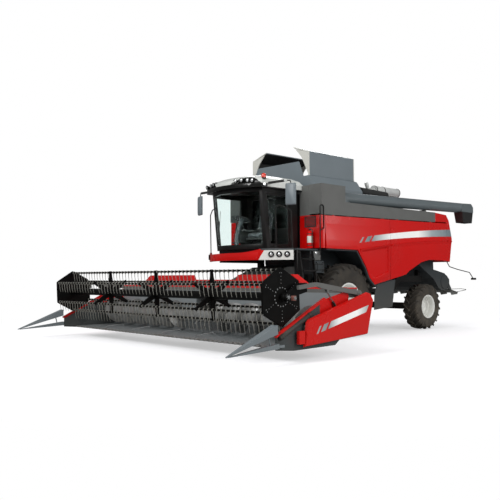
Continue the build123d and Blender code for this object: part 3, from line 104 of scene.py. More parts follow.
def addNode(tree, kind, values=None, links=None, **settings):
    node = tree.nodes.new(kind)
    for name, value in settings.items():
        setattr(node, name, value)
    for name, value in (values or {}).items():
        node.inputs[name].default_value = value
    for name, source in (links or {}).items():
        tree.links.new(source, node.inputs[name])
    return node


# Gives an input a number, a colour code or another node's output
def feed(tree, entry, source):
    if isinstance(source, str):
        entry.default_value = hexToLinear(source)
    elif isinstance(source, (int, float)):
        entry.default_value = source
    else:
        tree.links.new(source, entry)


def maths(tree, operation, *sources, clamp=False):
    node = addNode(tree, "ShaderNodeMath", operation=operation, use_clamp=clamp)
    for entry, source in zip(node.inputs, sources):
        feed(tree, entry, source)
    return node.outputs[0]


# Inputs 6 and 7 and output 2 of a Mix node are its colours
def mixColour(tree, share, first, second):
    node = addNode(tree, "ShaderNodeMix", data_type="RGBA")
    for index, source in ((0, share), (6, first), (7, second)):
        feed(tree, node.inputs[index], source)
    return node.outputs[2]


def mixShader(tree, share, first, second):
    return addNode(tree, "ShaderNodeMixShader", links={0: share, 1: first.outputs[0], 2: second.outputs[0]})


def mapRange(tree, value, low, high, to=(0, 1)):
    values = {"From Min": low, "From Max": high, "To Min": to[0], "To Max": to[1]}
    return addNode(tree, "ShaderNodeMapRange", values, {"Value": value}).outputs["Result"]


def noise(tree, place, size, detail):
    values = {"Scale": 1 / size, "Detail": detail}
    return addNode(tree, "ShaderNodeTexNoise", values, {"Vector": place}).outputs["Fac"]


def objectPlace(tree):
    return addNode(tree, "ShaderNodeTexCoord").outputs["Object"]


def split(tree, place):
    return addNode(tree, "ShaderNodeSeparateXYZ", links={"Vector": place}).outputs


def setRamp(node, stops):
    ramp = node.color_ramp
    while len(ramp.elements) < len(stops):
        ramp.elements.new(0.5)
    for element, (place, code) in zip(ramp.elements, stops):
        element.position = place
        element.color = hexToLinear(code)


# What most finishes share, in metres: patches of a second colour, dust towards the ground,
# a roughness that wanders, and a fine relief.
plainLook = {
    "colour": "#808080",
    "patchColour": "#777777",
    "patchSize": 0.5,
    "patchShare": 0.5,
    "patchDetail": 5,
    "patchEdge": (0.4, 0.65),  # levels of the noise between which a patch begins
    "dust": 0.1,
    "dustHeight": 1.6,
    "roughness": (0.4, 0.5),
    "roughnessEdge": (0.3, 0.7),  # levels of the noise that give the two roughnesses
    "grainSize": 0.01,
    "grainDepth": 0.0004,
    "grainDetail": 3,
    "stretch": (1, 1, 1),
    "shader": {},
}
dustColour = "#8d8271"
materials = {}


def makeFinish(name, look, paint=None):
    look = {**plainLook, **look}
    material = bpy.data.materials.new(name)
    tree = emptyTree(material)
    place = objectPlace(tree)
    patches = noise(tree, place, look["patchSize"], look["patchDetail"])
    strength = mapRange(tree, patches, *look["patchEdge"], (0, look["patchShare"]))
    colour = mixColour(tree, strength, look["colour"], look["patchColour"])
    if paint:
        colour = paint(tree, place, colour)
    low = mapRange(tree, split(tree, place)["Z"], 0, look["dustHeight"], (1, 0))
    dusty = maths(tree, "MULTIPLY", maths(tree, "MULTIPLY", low, patches), look["dust"] * 2, clamp=True)
    colour = mixColour(tree, dusty, colour, dustColour)
    rough = mapRange(tree, patches, *look["roughnessEdge"], look["roughness"])
    spread = addNode(tree, "ShaderNodeMapping", {"Scale": look["stretch"]}, {"Vector": place}).outputs[0]
    grain = noise(tree, spread, look["grainSize"], look["grainDetail"])
    relief = addNode(
        tree, "ShaderNodeBump", {"Distance": look["grainDepth"]}, {"Height": grain}
    ).outputs["Normal"]
    links = {"Base Color": colour, "Roughness": rough, "Normal": relief}
    shader = addNode(tree, "ShaderNodeBsdfPrincipled", look["shader"], links)
    addNode(tree, "ShaderNodeOutputMaterial", links={"Surface": shader.outputs[0]})
    materials[name] = material
    return material


# The stripe on each side of the body: lower edge and height at its two ends, its slant, and where the slashes
# and the band lie along it, in metres; and the greys along its silver film, which are painted reflection
bodyStripe = {
    "ends": (0.26, 4.62),
    "lowEdge": (2.335, 2.655),
    "sag": 0.045,
    "heights": (0.125, 0.205),
    "slant": 1.05,
    "spans": ((0.26, 0.33), (0.47, 0.66), (0.74, 9)),
    # painted reflection: the silver film's greys by share of its length, dark at the ends and bright in the
    # middle
    "paintedReflection": (
        (0, "#9ba3a4"), (0.1, "#6d797d"), (0.3, "#eceeed"),
        (0.6, "#f4f4f2"), (0.75, "#9aa6aa"), (1, "#66757c"),
    ),
}
coverStripe = {
    "ends": (-3.97, -2.44),
    "lowEdge": (0.485, 0.845),
    "sag": 0.0,
    "heights": (0.115, 0.115),
    "slant": 0.75,
    "spans": ((-3.97, -3.92), (-3.85, -3.72), (-3.66, -2.55)),
    # painted reflection along the cover's silver film, as on the body
    "paintedReflection": ((0, "#a3a9a8"), (0.2, "#7d8788"), (0.4, "#e9ebea"), (0.75, "#f2f2f0"), (1, "#8d9796")),
}


# Paints a silver film stripe with two slashes before it over a colour; the film's pale grey is its own, and
# its darker and brighter greys along its length are painted reflection
def stripePaint(stripe):
    lowStart, lowEnd = stripe["lowEdge"]
    heightStart, heightEnd = stripe["heights"]

    def paint(tree, place, colour):
        parts = split(tree, place)
        share = mapRange(tree, parts["Y"], *stripe["ends"])
        # the lower edge rises from end to end with a slight arch
        straight = maths(tree, "MULTIPLY_ADD", share, lowEnd - lowStart, lowStart)
        arch = maths(tree, "MULTIPLY", share, maths(tree, "SUBTRACT", 1, share))
        edge = maths(tree, "MULTIPLY_ADD", arch, 4 * stripe["sag"], straight)
        above = maths(tree, "SUBTRACT", parts["Z"], edge)
        height = maths(tree, "MULTIPLY_ADD", share, heightEnd - heightStart, heightStart)
        inside = maths(tree, "COMPARE", maths(tree, "DIVIDE", above, height), 0.5, 0.5)
        along = maths(tree, "MULTIPLY_ADD", above, -stripe["slant"], parts["Y"])
        covered = 0
        for low, high in stripe["spans"]:
            span = maths(tree, "COMPARE", along, (low + high) / 2, (high - low) / 2)
            covered = maths(tree, "ADD", covered, span)
        mask = maths(tree, "MULTIPLY", inside, covered)
        # the greys along the stripe are painted reflection on the silver film
        paintedReflection = addNode(tree, "ShaderNodeValToRGB", links={"Fac": share})
        setRamp(paintedReflection, stripe["paintedReflection"])
        return mixColour(tree, mask, colour, paintedReflection.outputs["Color"])

    return paint


# Paints a second colour in each box ((lowX, highX), (lowY, highY), (lowZ, highZ)); the x limits are
# distances from the middle.
def boxPaint(code, *boxes):
    def paint(tree, place, colour):
        parts = split(tree, place)
        aside = maths(tree, "ABSOLUTE", parts["X"])
        for box in boxes:
            mask = 1
            for source, (low, high) in zip((aside, parts["Y"], parts["Z"]), box):
                within = maths(tree, "COMPARE", source, (low + high) / 2, (high - low) / 2)
                mask = maths(tree, "MULTIPLY", mask, within)
            colour = mixColour(tree, mask, colour, code)
        return colour

    return paint


# Two-pack enamel sprayed on sheet steel: wet-looking, with a faint orange peel
redEnamel = {
    "colour": "#c20806", "patchColour": "#b30604", "patchSize": 1.4, "dust": 0.04, "roughness": (0.22, 0.32),
    "grainSize": 0.012, "grainDepth": 0.00012,
    "shader": {"IOR": 1.5, "Specular IOR Level": 0.3, "Coat Weight": 0.12, "Coat Roughness": 0.05},
}
# Textured powder coat: satin, with a fine even pimple
greyPowderCoat = {
    "colour": "#5d5e5c", "patchColour": "#565755", "roughness": (0.42, 0.52), "grainSize": 0.006,
    "grainDepth": 0.0003, "shader": {"IOR": 1.5},
}
# Alkyd enamel on folded sheet: cooler and smoother than the powder coat
blueGreyEnamel = {
    "colour": "#6c757a", "patchColour": "#646d72", "patchSize": 0.9, "roughness": (0.34, 0.44),
    "grainSize": 0.02, "grainDepth": 0.0002, "shader": {"IOR": 1.5},
}
# Air-dried black chassis paint: thick, half gloss
blackPaint = {
    "colour": "#101010", "patchColour": "#191817", "dust": 0.08, "roughness": (0.34, 0.5), "grainSize": 0.008,
    "grainDepth": 0.0003, "shader": {"IOR": 1.5, "Specular IOR Level": 0.35},
}
# Acrylic stoving enamel of the reel: deep black, and rubbed by straw
reelBlack = {
    "colour": "#070707", "patchColour": "#0d0d0c", "patchSize": 0.3, "dust": 0.01, "roughness": (0.3, 0.44),
    "grainSize": 0.01, "grainDepth": 0.0002, "shader": {"IOR": 1.5, "Specular IOR Level": 0.15},
}
# Rotationally moulded polyethylene: dull, slightly waxy
greyPolyethylene = {
    "colour": "#33393c", "patchColour": "#2e3437", "dust": 0.2, "roughness": (0.5, 0.62), "grainSize": 0.004,
    "grainDepth": 0.0004, "shader": {"IOR": 1.51},
}
# Gel-coated glass fibre: off-white, gently rippled
whiteGelcoat = {
    "colour": "#c9ccc8", "patchColour": "#bec2be", "patchSize": 0.8, "roughness": (0.22, 0.34),
    "grainSize": 0.03, "grainDepth": 0.0002,
    "shader": {"IOR": 1.52, "Coat Weight": 0.2, "Coat Roughness": 0.1},
}
# Cold-rolled steel scoured bright by the crop
scouredSteel = {
    "colour": "#9a9d9e", "patchColour": "#7d7e7b", "patchSize": 0.16, "dust": 0.25, "roughness": (0.3, 0.48),
    "grainSize": 0.012, "grainDepth": 0.0002, "stretch": (0.15, 1, 1), "shader": {"Metallic": 0.45},
}
# Aluminised steel sheet: a matt dip coat over a rolled grain
aluminisedSheet = {
    "colour": "#d3d5d3", "patchColour": "#c0c2c0", "patchSize": 0.25, "dust": 0, "roughness": (0.42, 0.55),
    "grainSize": 0.01, "grainDepth": 0.0002, "stretch": (1, 0.1, 1), "shader": {"Metallic": 0.25},
}
# Silver wheel enamel: aluminium flake in a clear binder
silverEnamel = {
    "colour": "#e6e7e3", "patchColour": "#dcdcd6", "patchSize": 0.3, "dust": 0.1, "dustHeight": 1.2,
    "roughness": (0.3, 0.42), "grainSize": 0.004, "grainDepth": 0.0001,
    "shader": {"Metallic": 0.1, "IOR": 1.5},
}
# Vulcanised natural rubber, browned by field dust
tyreRubber = {
    "colour": "#211f1d", "patchColour": "#322d27", "patchSize": 0.18, "patchShare": 0.7, "dust": 0.22,
    "dustHeight": 2.2, "roughness": (0.72, 0.9), "grainSize": 0.012, "grainDepth": 0.0012,
    "shader": {"IOR": 1.52},
}
# Injection-moulded nylon, bleached by the sun
nylon = {
    "colour": "#86857e", "patchColour": "#6f6e68", "patchSize": 0.3, "roughness": (0.42, 0.55),
    "grainSize": 0.004, "grainDepth": 0.0002, "shader": {"IOR": 1.53},
}
# Moulded EPDM: matt black-grey
rubberSheet = {
    "colour": "#232424", "patchColour": "#2e2e2c", "roughness": (0.6, 0.75), "grainSize": 0.005,
    "grainDepth": 0.0004, "shader": {"IOR": 1.52},
}
# Hard-chromed rods and mirror glass
chrome = {
    "colour": "#d3d4d4", "patchColour": "#c4c6c6", "dust": 0, "roughness": (0.06, 0.14), "grainSize": 0.02,
    "grainDepth": 0.00003, "shader": {"Metallic": 1},
}
# Acrylic lenses, fluted on the inside
redAcrylic = {
    "colour": "#a01812", "patchColour": "#8d120e", "dust": 0, "roughness": (0.12, 0.2), "grainSize": 0.012,
    "grainDepth": 0.0008, "stretch": (1, 1, 0.1), "shader": {"IOR": 1.49, "Coat Weight": 0.5},
}
amberAcrylic = {**redAcrylic, "colour": "#c4571a", "patchColour": "#b54c12"}
beaconAcrylic = {**redAcrylic, "colour": "#cf3a2a", "patchColour": "#b92d20"}
# Clear acrylic over a bright reflector
lampLens = {
    "colour": "#e9ecec", "patchColour": "#c9cfd0", "patchSize": 0.05, "dust": 0, "roughness": (0.05, 0.14),
    "grainSize": 0.014, "grainDepth": 0.0008, "stretch": (1, 1, 0.1),
    "shader": {"Metallic": 0.5, "IOR": 1.49, "Coat Weight": 0.6},
}
# Coated paper label, left blank
blankLabel = {
    "colour": "#d8dcd4", "patchColour": "#7fae7c", "patchSize": 0.1, "dust": 0, "roughness": (0.35, 0.45),
    "grainSize": 0.003, "grainDepth": 0.0001, "shader": {"IOR": 1.5},
}
# Red-brown anti-rust primer on cast iron
primer = {
    "colour": "#8d5a50", "patchColour": "#7c5048", "patchSize": 0.05, "dust": 0, "roughness": (0.5, 0.62),
    "grainSize": 0.004, "grainDepth": 0.0004, "shader": {"IOR": 1.5},
}
# Die-cast aluminium: pale and slightly pitted
rawCasting = {
    "colour": "#a9abab", "patchColour": "#949695", "patchSize": 0.06, "dust": 0, "roughness": (0.4, 0.55),
    "grainSize": 0.004, "grainDepth": 0.0003, "shader": {"Metallic": 0.9},
}

finishes = {
    "redEnamel": redEnamel, "greyPowderCoat": greyPowderCoat, "blueGreyEnamel": blueGreyEnamel,
    "blackPaint": blackPaint, "reelBlack": reelBlack, "greyPolyethylene": greyPolyethylene,
    "whiteGelcoat": whiteGelcoat, "scouredSteel": scouredSteel, "aluminisedSheet": aluminisedSheet,
    "primer": primer, "silverEnamel": silverEnamel, "tyreRubber": tyreRubber, "nylon": nylon,
    "rubberSheet": rubberSheet, "chrome": chrome, "redAcrylic": redAcrylic, "amberAcrylic": amberAcrylic,
    "beaconAcrylic": beaconAcrylic, "blankLabel": blankLabel, "rawCasting": rawCasting, "lampLens": lampLens,
}
for finishName, finishLook in finishes.items():
    makeFinish(finishName, finishLook)
makeFinish("extinguisherRed", {**redEnamel, "colour": "#e01410", "patchColour": "#d2120e"})
makeFinish("redEnamelBodyStripe", redEnamel, stripePaint(bodyStripe))
makeFinish("redEnamelCoverStripe", redEnamel, stripePaint(coverStripe))

# Woven polyester, its threads drawn coarser than the real 1 mm so that they show
wovenPolyester = {
    "colour": "#33373a", "patchColour": "#2a2d30", "patchSize": 0.2, "dust": 0, "roughness": (0.8, 0.95),
    "shader": {"IOR": 1.5, "Sheen Weight": 0.3, "Sheen Roughness": 0.5},
}
seatWeave = {"threadGap": 0.003, "waviness": 0.4, "relief": 0.0006}


def makeSeatCloth():
    tree = makeFinish("wovenPolyester", wovenPolyester).node_tree
    place, relief = (next(node for node in tree.nodes if node.type == kind) for kind in ("TEX_COORD", "BUMP"))
    wave = {"Scale": 1 / (3.14 * seatWeave["threadGap"]), "Distortion": seatWeave["waviness"]}
    links = {"Vector": place.outputs["Object"]}
    threads = [
        addNode(tree, "ShaderNodeTexWave", wave, links, bands_direction=direction).outputs["Fac"]
        for direction in ("X", "Z")
    ]
    feed(tree, relief.inputs["Height"], maths(tree, "MAXIMUM", *threads))
    relief.inputs["Distance"].default_value = seatWeave["relief"]


makeSeatCloth()

# Laminated safety glass with a green-blue tint
tintedGlass = {
    "tints": ("#f5fbfa", "#eff9f7"),
    "hazeSize": 1 / 3,
    "hazeDetail": 4,
    "roughness": (0, 0.03),
    "shader": {"Transmission Weight": 1, "IOR": 1.05},
}


def makeTintedGlass():
    look = tintedGlass
    material = bpy.data.materials.new("laminatedGlass")
    tree = emptyTree(material)
    haze = noise(tree, objectPlace(tree), look["hazeSize"], look["hazeDetail"])
    rough = mapRange(tree, haze, 0, 1, look["roughness"])
    tint = mixColour(tree, haze, *look["tints"])
    links = {"Base Color": tint, "Roughness": rough}
    glass = addNode(tree, "ShaderNodeBsdfPrincipled", look["shader"], links)
    # a clear shadow, so that the cab isn't black inside
    clear = addNode(tree, "ShaderNodeBsdfTransparent", links={"Color": tint})
    mix = mixShader(tree, addNode(tree, "ShaderNodeLightPath").outputs["Is Shadow Ray"], glass, clear)
    addNode(tree, "ShaderNodeOutputMaterial", links={"Surface": mix.outputs[0]})
    materials["laminatedGlass"] = material


makeTintedGlass()

# Finishes with two colours on one piece, split by place in metres
everywhere = (-9, 9)
tubeGrey = {**blueGreyEnamel, "colour": "#5a6265", "patchColour": "#545b5e"}


# The header's table is grey, paler in its trough's lower part, with a red top
def headerPaint(tree, place, colour):
    colour = boxPaint("#7b8184", (everywhere, (-4.40, -2.95), (0.2, 1.19)))(tree, place, colour)
    return boxPaint("#c20806", (everywhere, everywhere, (1.262, 9)))(tree, place, colour)


makeFinish("headerPaint", greyPowderCoat, headerPaint)
makeFinish("tubePaint", tubeGrey, boxPaint("#232424", (everywhere, (5, 9), (3, 3.42))))
makeFinish(
    "coverPaint",
    blueGreyEnamel,
    boxPaint("#c2c2bb", (everywhere, (-2, -0.8305), everywhere), (everywhere, (0.8705, 2), everywhere)),
)


# The wall is grey above the side doors, and painted near-black behind the cab as painted shade inside the cab
def frontWallPaintAndShade(tree, place, colour):
    colour = boxPaint("#5d5e5c", (everywhere, everywhere, (2.965, 9)))(tree, place, colour)
    # painted shade: the wall behind the cab, in the cab's shade, near-black
    return boxPaint("#141414", ((0, 0.94), everywhere, (0, 3.5)))(tree, place, colour)


makeFinish("frontWallPaintAndShade", redEnamel, frontWallPaintAndShade)

# The end sheets are dark grey, with red above a slanted line and on their rear corner
headerEndLook = {
    "slope": 0.4848, "height": 2.803, "cornerFrom": -3.72, "cornerAbove": 0.84, "grey": "#3f4344",
}


def headerEndPaint(tree, place, colour):
    look = headerEndLook
    parts = split(tree, place)
    trim = maths(tree, "MULTIPLY_ADD", parts["Y"], look["slope"], look["height"])
    above = maths(tree, "GREATER_THAN", parts["Z"], trim)
    behind = maths(tree, "GREATER_THAN", parts["Y"], look["cornerFrom"])
    high = maths(tree, "GREATER_THAN", parts["Z"], look["cornerAbove"])
    mask = maths(tree, "MAXIMUM", above, maths(tree, "MULTIPLY", behind, high))
    red = mixColour(tree, mask, look["grey"], colour)
    return boxPaint("#5d5e5c", ((3.9035, 9), everywhere, everywhere))(tree, place, red)


makeFinish("headerEndPaint", redEnamel, headerEndPaint)

# Lamp bays in the roof's front: two black arches over a black lower rim, in metres
roofBays = {
    "middle": 0.63, "reach": 0.40, "top": 3.815, "fall": 1.21, "rim": 3.652, "front": -2.25,
    "black": "#121312",
}


def roofPaint(tree, place, colour):
    bays = roofBays
    parts = split(tree, place)
    aside = maths(tree, "ABSOLUTE", parts["X"])
    offset = maths(tree, "SUBTRACT", aside, bays["middle"])
    limit = maths(tree, "MULTIPLY_ADD", maths(tree, "MULTIPLY", offset, offset), -bays["fall"], bays["top"])
    within = maths(tree, "COMPARE", aside, bays["middle"], bays["reach"])
    arch = maths(tree, "MULTIPLY", maths(tree, "LESS_THAN", parts["Z"], limit), within)
    dark = maths(tree, "MAXIMUM", arch, maths(tree, "LESS_THAN", parts["Z"], bays["rim"]))
    mask = maths(tree, "MULTIPLY", dark, maths(tree, "LESS_THAN", parts["Y"], bays["front"]))
    colour = mixColour(tree, mask, colour, bays["black"])
    return boxPaint(bays["black"], (everywhere, everywhere, (3.5, 3.585)))(tree, place, colour)


makeFinish("roofPaint", whiteGelcoat, roofPaint)

# The lamp panels are white, parted from the red bow by a slanted line
bumperLook = {"slope": -0.55, "shift": 0.12, "rightFrom": -1.057, "white": "#d2d3cf"}


def bumperPaint(tree, place, colour):
    look = bumperLook
    parts = split(tree, place)
    slant = maths(tree, "MULTIPLY_ADD", parts["Z"], look["slope"], look["shift"])
    left = maths(tree, "GREATER_THAN", maths(tree, "ADD", parts["X"], slant), 0)
    right = maths(tree, "LESS_THAN", parts["X"], look["rightFrom"])
    return mixColour(tree, maths(tree, "MAXIMUM", left, right), colour, look["white"])


makeFinish("bumperPaint", redEnamel, bumperPaint)
print("finishes made:", len(materials))


# The width in metres that each CAD node's edges are eased by, sorted by finish
nodeFinishes = {
    "blackPaint": {
        "front_axle": 0.006, "main_frame": 0.006, "rear_axle": 0.006, "knuckle_left": 0.004,
        "knuckle_right": 0.004, "engine_block": 0.01, "cab_frame": 0.006, "handrails": 0,
        "access_ladder": 0.002, "rear_lamps": 0.002, "lift_barrels": 0.002, "reel_lift_barrels": 0.001,
    },
    "greyPolyethylene": {
        "threshing_body": 0.006, "wheel_guards": 0.004, "straw_hood": 0.006, "cab_platform": 0.005,
    },
    "greyPowderCoat": {
        "side_frames": 0.003, "upper_bands": 0.008, "engine_hood": 0.01, "spreader_board": 0.002,
        "feeder_house": 0.005, "reel_arms": 0.003,
    },
    "blueGreyEnamel": {"grain_tank": 0.004, "dividers": 0.012},
    "frontWallPaintAndShade": {"front_wall": 0.003},
    "redEnamelBodyStripe": {
        "side_door_front_left": 0.006, "side_door_front_right": 0.006, "side_door_rear_left": 0.006,
        "side_door_rear_right": 0.006, "rear_hood": 0.014,
    },
    "aluminisedSheet": {"exhaust_silencer": 0.004},
    "coverPaint": {"tank_cover_left": 0.003, "tank_cover_right": 0.003},
    "tubePaint": {"unloading_tube": 0.006},
    "laminatedGlass": {"cab_windows": 0},
    "roofPaint": {"cab_roof": 0.012},
    "bumperPaint": {"front_bumper": 0.008},
    "headerPaint": {"header_table": 0.004},
    "scouredSteel": {"cutterbar": 0.001, "table_auger": 0},
    "headerEndPaint": {"header_ends": 0.002},
    "redEnamelCoverStripe": {"end_covers": 0.012},
    "reelBlack": {"reel_carriers": 0.002, "reel": 0, "eccentric_ring": 0.001},
    "chrome": {"lift_rods": 0, "reel_lift_rods": 0},
}
# Merging distance in metres, and angles in degrees
edgeLook = {"weld": 0.00002, "flat": 0.6, "nodeCorner": 35, "pieceCorner": 40, "segments": 2}


def easeEdges(piece, width, corner):
    ease = piece.modifiers.new("ease", "BEVEL")
    ease.width = width
    ease.segments = edgeLook["segments"]
    ease.limit_method = "ANGLE"
    ease.angle_limit = math.radians(corner)
    ease.harden_normals = True


def dressNodes():
    for finish, widths in nodeFinishes.items():
        for name, width in widths.items():
            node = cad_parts[name]
            node.data.materials.clear()
            node.data.materials.append(materials[finish])
            if not width:
                continue
            weld = node.modifiers.new("weld", "WELD")
            weld.merge_threshold = edgeLook["weld"]
            flat = node.modifiers.new("flat", "DECIMATE")
            flat.decimate_type = "DISSOLVE"
            flat.angle_limit = math.radians(edgeLook["flat"])
            easeEdges(node, width, edgeLook["nodeCorner"])


dressNodes()
print("CAD nodes dressed:", sum(len(widths) for widths in nodeFinishes.values()))


# Mesh helpers. A shape is a bmesh in the machine's frame, and finish counts its material slots.


def addFace(shape, corners, finish):
    try:
        face = shape.faces.new(corners)
    except ValueError:  # this face is there already
        return
    face.material_index = finish


def onAxis(axis, depth, first, second):
    places = {"x": (depth, first, second), "y": (first, depth, second), "z": (first, second, depth)}
    return Vector(places[axis])


# Faces between rings with as many corners each; the ends are closed unless the rings form a loop
def addSkin(shape, rings, finish=0, caps=True, loop=False):
    for ring, after in zip(rings, rings[1:] + rings[:1] if loop else rings[1:]):
        count = len(ring)
        for i in range(count):
            j = (i + 1) % count
            addFace(shape, (ring[i], ring[j], after[j], after[i]), finish)
    if caps and not loop:
        addFace(shape, rings[0][::-1], finish)
        addFace(shape, rings[-1], finish)


def addPrism(shape, outline, axis, low, high, finish=0):
    ends = [[shape.verts.new(onAxis(axis, depth, *corner)) for corner in outline] for depth in (low, high)]
    addSkin(shape, ends, finish)


# A plate between an outer and an inner outline with as many corners
def addWindow(shape, outer, inner, axis, low, high):
    rings = [
        [shape.verts.new(onAxis(axis, depth, *corner)) for corner in outline]
        for depth, outline in ((low, outer), (high, outer), (high, inner), (low, inner))
    ]
    addSkin(shape, rings, loop=True)


def sideways(direction):
    guide = Vector((0, 0, 1)) if abs(direction.z) < 0.9 else Vector((0, 1, 0))
    first = direction.cross(guide).normalized()
    return first, direction.cross(first).normalized()


def addRing(shape, middle, first, second, radius, steps):
    angles = [2 * math.pi * i / steps for i in range(steps)]
    return [shape.verts.new(middle + (first * math.cos(a) + second * math.sin(a)) * radius) for a in angles]


# A form turned about an axis: profile rows are (distance along it, radius)
def addTurned(shape, profile, centre, direction, steps=24, finish=0, closed=False):
    direction = Vector(direction).normalized()
    first, second = sideways(direction)
    rings = []
    for along, radius in profile:
        middle = Vector(centre) + direction * along
        tip = [shape.verts.new(middle)] if not radius else None
        rings.append(tip or addRing(shape, middle, first, second, radius, steps))
    for ring, after in zip(rings, rings[1:] + rings[:1] if closed else rings[1:]):
        for i in range(steps):
            j = (i + 1) % steps
            corners = [ring[i % len(ring)], ring[j % len(ring)], after[j % len(after)], after[i % len(after)]]
            corners = [corner for k, corner in enumerate(corners) if corner not in corners[:k]]
            if len(corners) > 2:
                addFace(shape, corners, finish)


# A flat band round an axis, from one distance along it to another
def addBand(shape, low, high, inner, outer, centre, direction, steps, finish=0):
    profile = [(low, inner), (low, outer), (high, outer), (high, inner)]
    addTurned(shape, profile, centre, direction, steps, finish, closed=True)


def addRod(shape, start, end, radius, steps=12, finish=0, soft=0.0):
    run = Vector(end) - Vector(start)
    length = run.length
    profile = [(0, 0), (0, radius), (length, radius), (length, 0)]
    if soft:
        profile[1:3] = [(0, radius - soft), (soft, radius), (length - soft, radius), (length, radius - soft)]
    addTurned(shape, profile, start, run, steps, finish)


# A smooth curve through the points, with so many steps between two of them
def smoothRoute(points, per=6):
    points = [Vector(point) for point in points]
    padded = [2 * points[0] - points[1]] + points + [2 * points[-1] - points[-2]]
    route = []
    for a, b, c, d in zip(padded, padded[1:], padded[2:], padded[3:]):
        bend, twist = 2 * a - 5 * b + 4 * c - d, 3 * b - a - 3 * c + d
        for i in range(per):
            t = i / per
            route.append(0.5 * (2 * b + (c - a) * t + bend * t**2 + twist * t**3))
    return route + [points[-1]]


# A tube along a route, with closed ends
def addTube(shape, route, radius, steps=8, finish=0):
    rings = []
    first = None
    for i, point in enumerate(route):
        ahead = (route[min(i + 1, len(route) - 1)] - route[max(i - 1, 0)]).normalized()
        first = sideways(ahead)[0] if first is None else (first - ahead * first.dot(ahead)).normalized()
        rings.append(addRing(shape, point, first, ahead.cross(first), radius, steps))
    addSkin(shape, rings, finish)


# A hexagon bolt head on a washer, standing on a face; the shares are of the head's radius
boltLook = {"height": 0.65, "washer": 1.35}


def addBolt(shape, place, outward, radius, finish=0):
    outward = Vector(outward).normalized()
    height, washer = radius * boltLook["height"], radius * boltLook["washer"]
    plate = [(0, 0), (0, washer), (height * 0.25, washer), (height * 0.25, 0)]
    head = [(0, 0), (0, radius), (height, radius), (height * 1.15, radius * 0.8), (height * 1.15, 0)]
    addTurned(shape, plate, place, outward, 12, finish)
    addTurned(shape, head, Vector(place) + outward * height * 0.2, outward, 6, finish)


cornerSteps = 4


# A rectangle's outline with rounded corners, from its half sizes
def roundedOutline(wide, tall, corner):
    outline = []
    for k, (a, b) in enumerate(((1, 1), (-1, 1), (-1, -1), (1, -1))):
        for i in range(cornerSteps + 1):
            angle = math.pi / 2 * (k + i / cornerSteps)
            u = a * (wide - corner) + corner * math.cos(angle)
            v = b * (tall - corner) + corner * math.sin(angle)
            outline.append((u, v))
    return outline


# A block with corners rounded in its outline, and then eased by its piece's bevel
def addSlab(shape, axis, low, high, centre, size, corner, finish=0):
    outline = roundedOutline(size[0] / 2, size[1] / 2, corner)
    addPrism(shape, [(centre[0] + u, centre[1] + v) for u, v in outline], axis, low, high, finish)


# A point at a radius and an angle from a centre, and so far across that direction
def around(centre, radius, angle, across=0):
    return (
        centre[0] + radius * math.cos(angle) - across * math.sin(angle),
        centre[1] + radius * math.sin(angle) + across * math.cos(angle),
    )


def finishPiece(name, shape, finishes, body, edge=0.0, stands=(), sharp=35):
    bmesh.ops.recalc_face_normals(shape, faces=shape.faces)
    mesh = bpy.data.meshes.new(name)
    shape.to_mesh(mesh)
    shape.free()
    for finish in finishes:
        mesh.materials.append(materials[finish])
    mesh.shade_smooth()
    mesh.set_sharp_from_angle(angle=math.radians(sharp))
    piece = addObject(name, mesh)
    if edge:
        easeEdges(piece, edge, edgeLook["pieceCorner"])
    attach(piece, body)
    if stands:
        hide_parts(*stands)
    return piece


# Wheels: tyres with chevron lugs, and dished rims. Sizes in metres, profile rows as shares.
frontWheelLook = {
    "lugs": 22, "lugHeight": 0.05, "lugWidth": 0.046, "sweep": 0.30, "rimRadius": 0.4065, "bolts": 12,
}
rearWheelLook = {
    "lugs": 19, "lugHeight": 0.045, "lugWidth": 0.038, "sweep": 0.32, "rimRadius": 0.305, "bolts": 8,
}
tyreSteps, rimSteps = 72, 64
# rows: share of the half width, share of the height from rim to tread
carcassProfile = (
    (-0.80, -0.01), (-0.86, 0.03), (-0.87, 0.12), (-0.93, 0.27), (-0.96, 0.45), (-0.95, 0.62), (-0.91, 0.78),
    (-0.85, 0.90), (-0.78, 0.955), (-0.6, 0.985), (-0.3, 1.0),
)
# rows: share of the sweep, top (share of half width, lug heights below the tyre's radius), base (the same)
lugProfile = (
    (0.00, (0.035, 0.02), (0.035, 1.3)),
    (0.30, (0.30, 0.02), (0.30, 1.3)),
    (0.62, (0.60, 0.10), (0.60, 1.35)),
    (0.90, (0.875, 0.42), (0.82, 1.7)),
    (1.00, (0.975, 1.15), (0.90, 2.1)),
    (1.05, (0.99, 2.5), (0.93, 3.0)),
)


def addLug(shape, centre, radius, half, side, start, look):
    lean = math.atan2(look["sweep"] * radius, half)
    rows = []
    for share, top, base in lugProfile:
        angle = start - look["sweep"] * share
        row = []
        for (across, depth), width in ((base, 1.25), (top, 0.8)):
            height = radius - depth * look["lugHeight"]
            reach = width * look["lugWidth"] / 2 / (radius * math.cos(lean))
            for turn in (-reach, reach):
                a = angle + turn
                row.append(shape.verts.new(
                    centre + Vector((side * across * half, height * math.cos(a), height * math.sin(a)))
                ))
        rows.append((row[0], row[1], row[3], row[2]))
    addSkin(shape, rows)


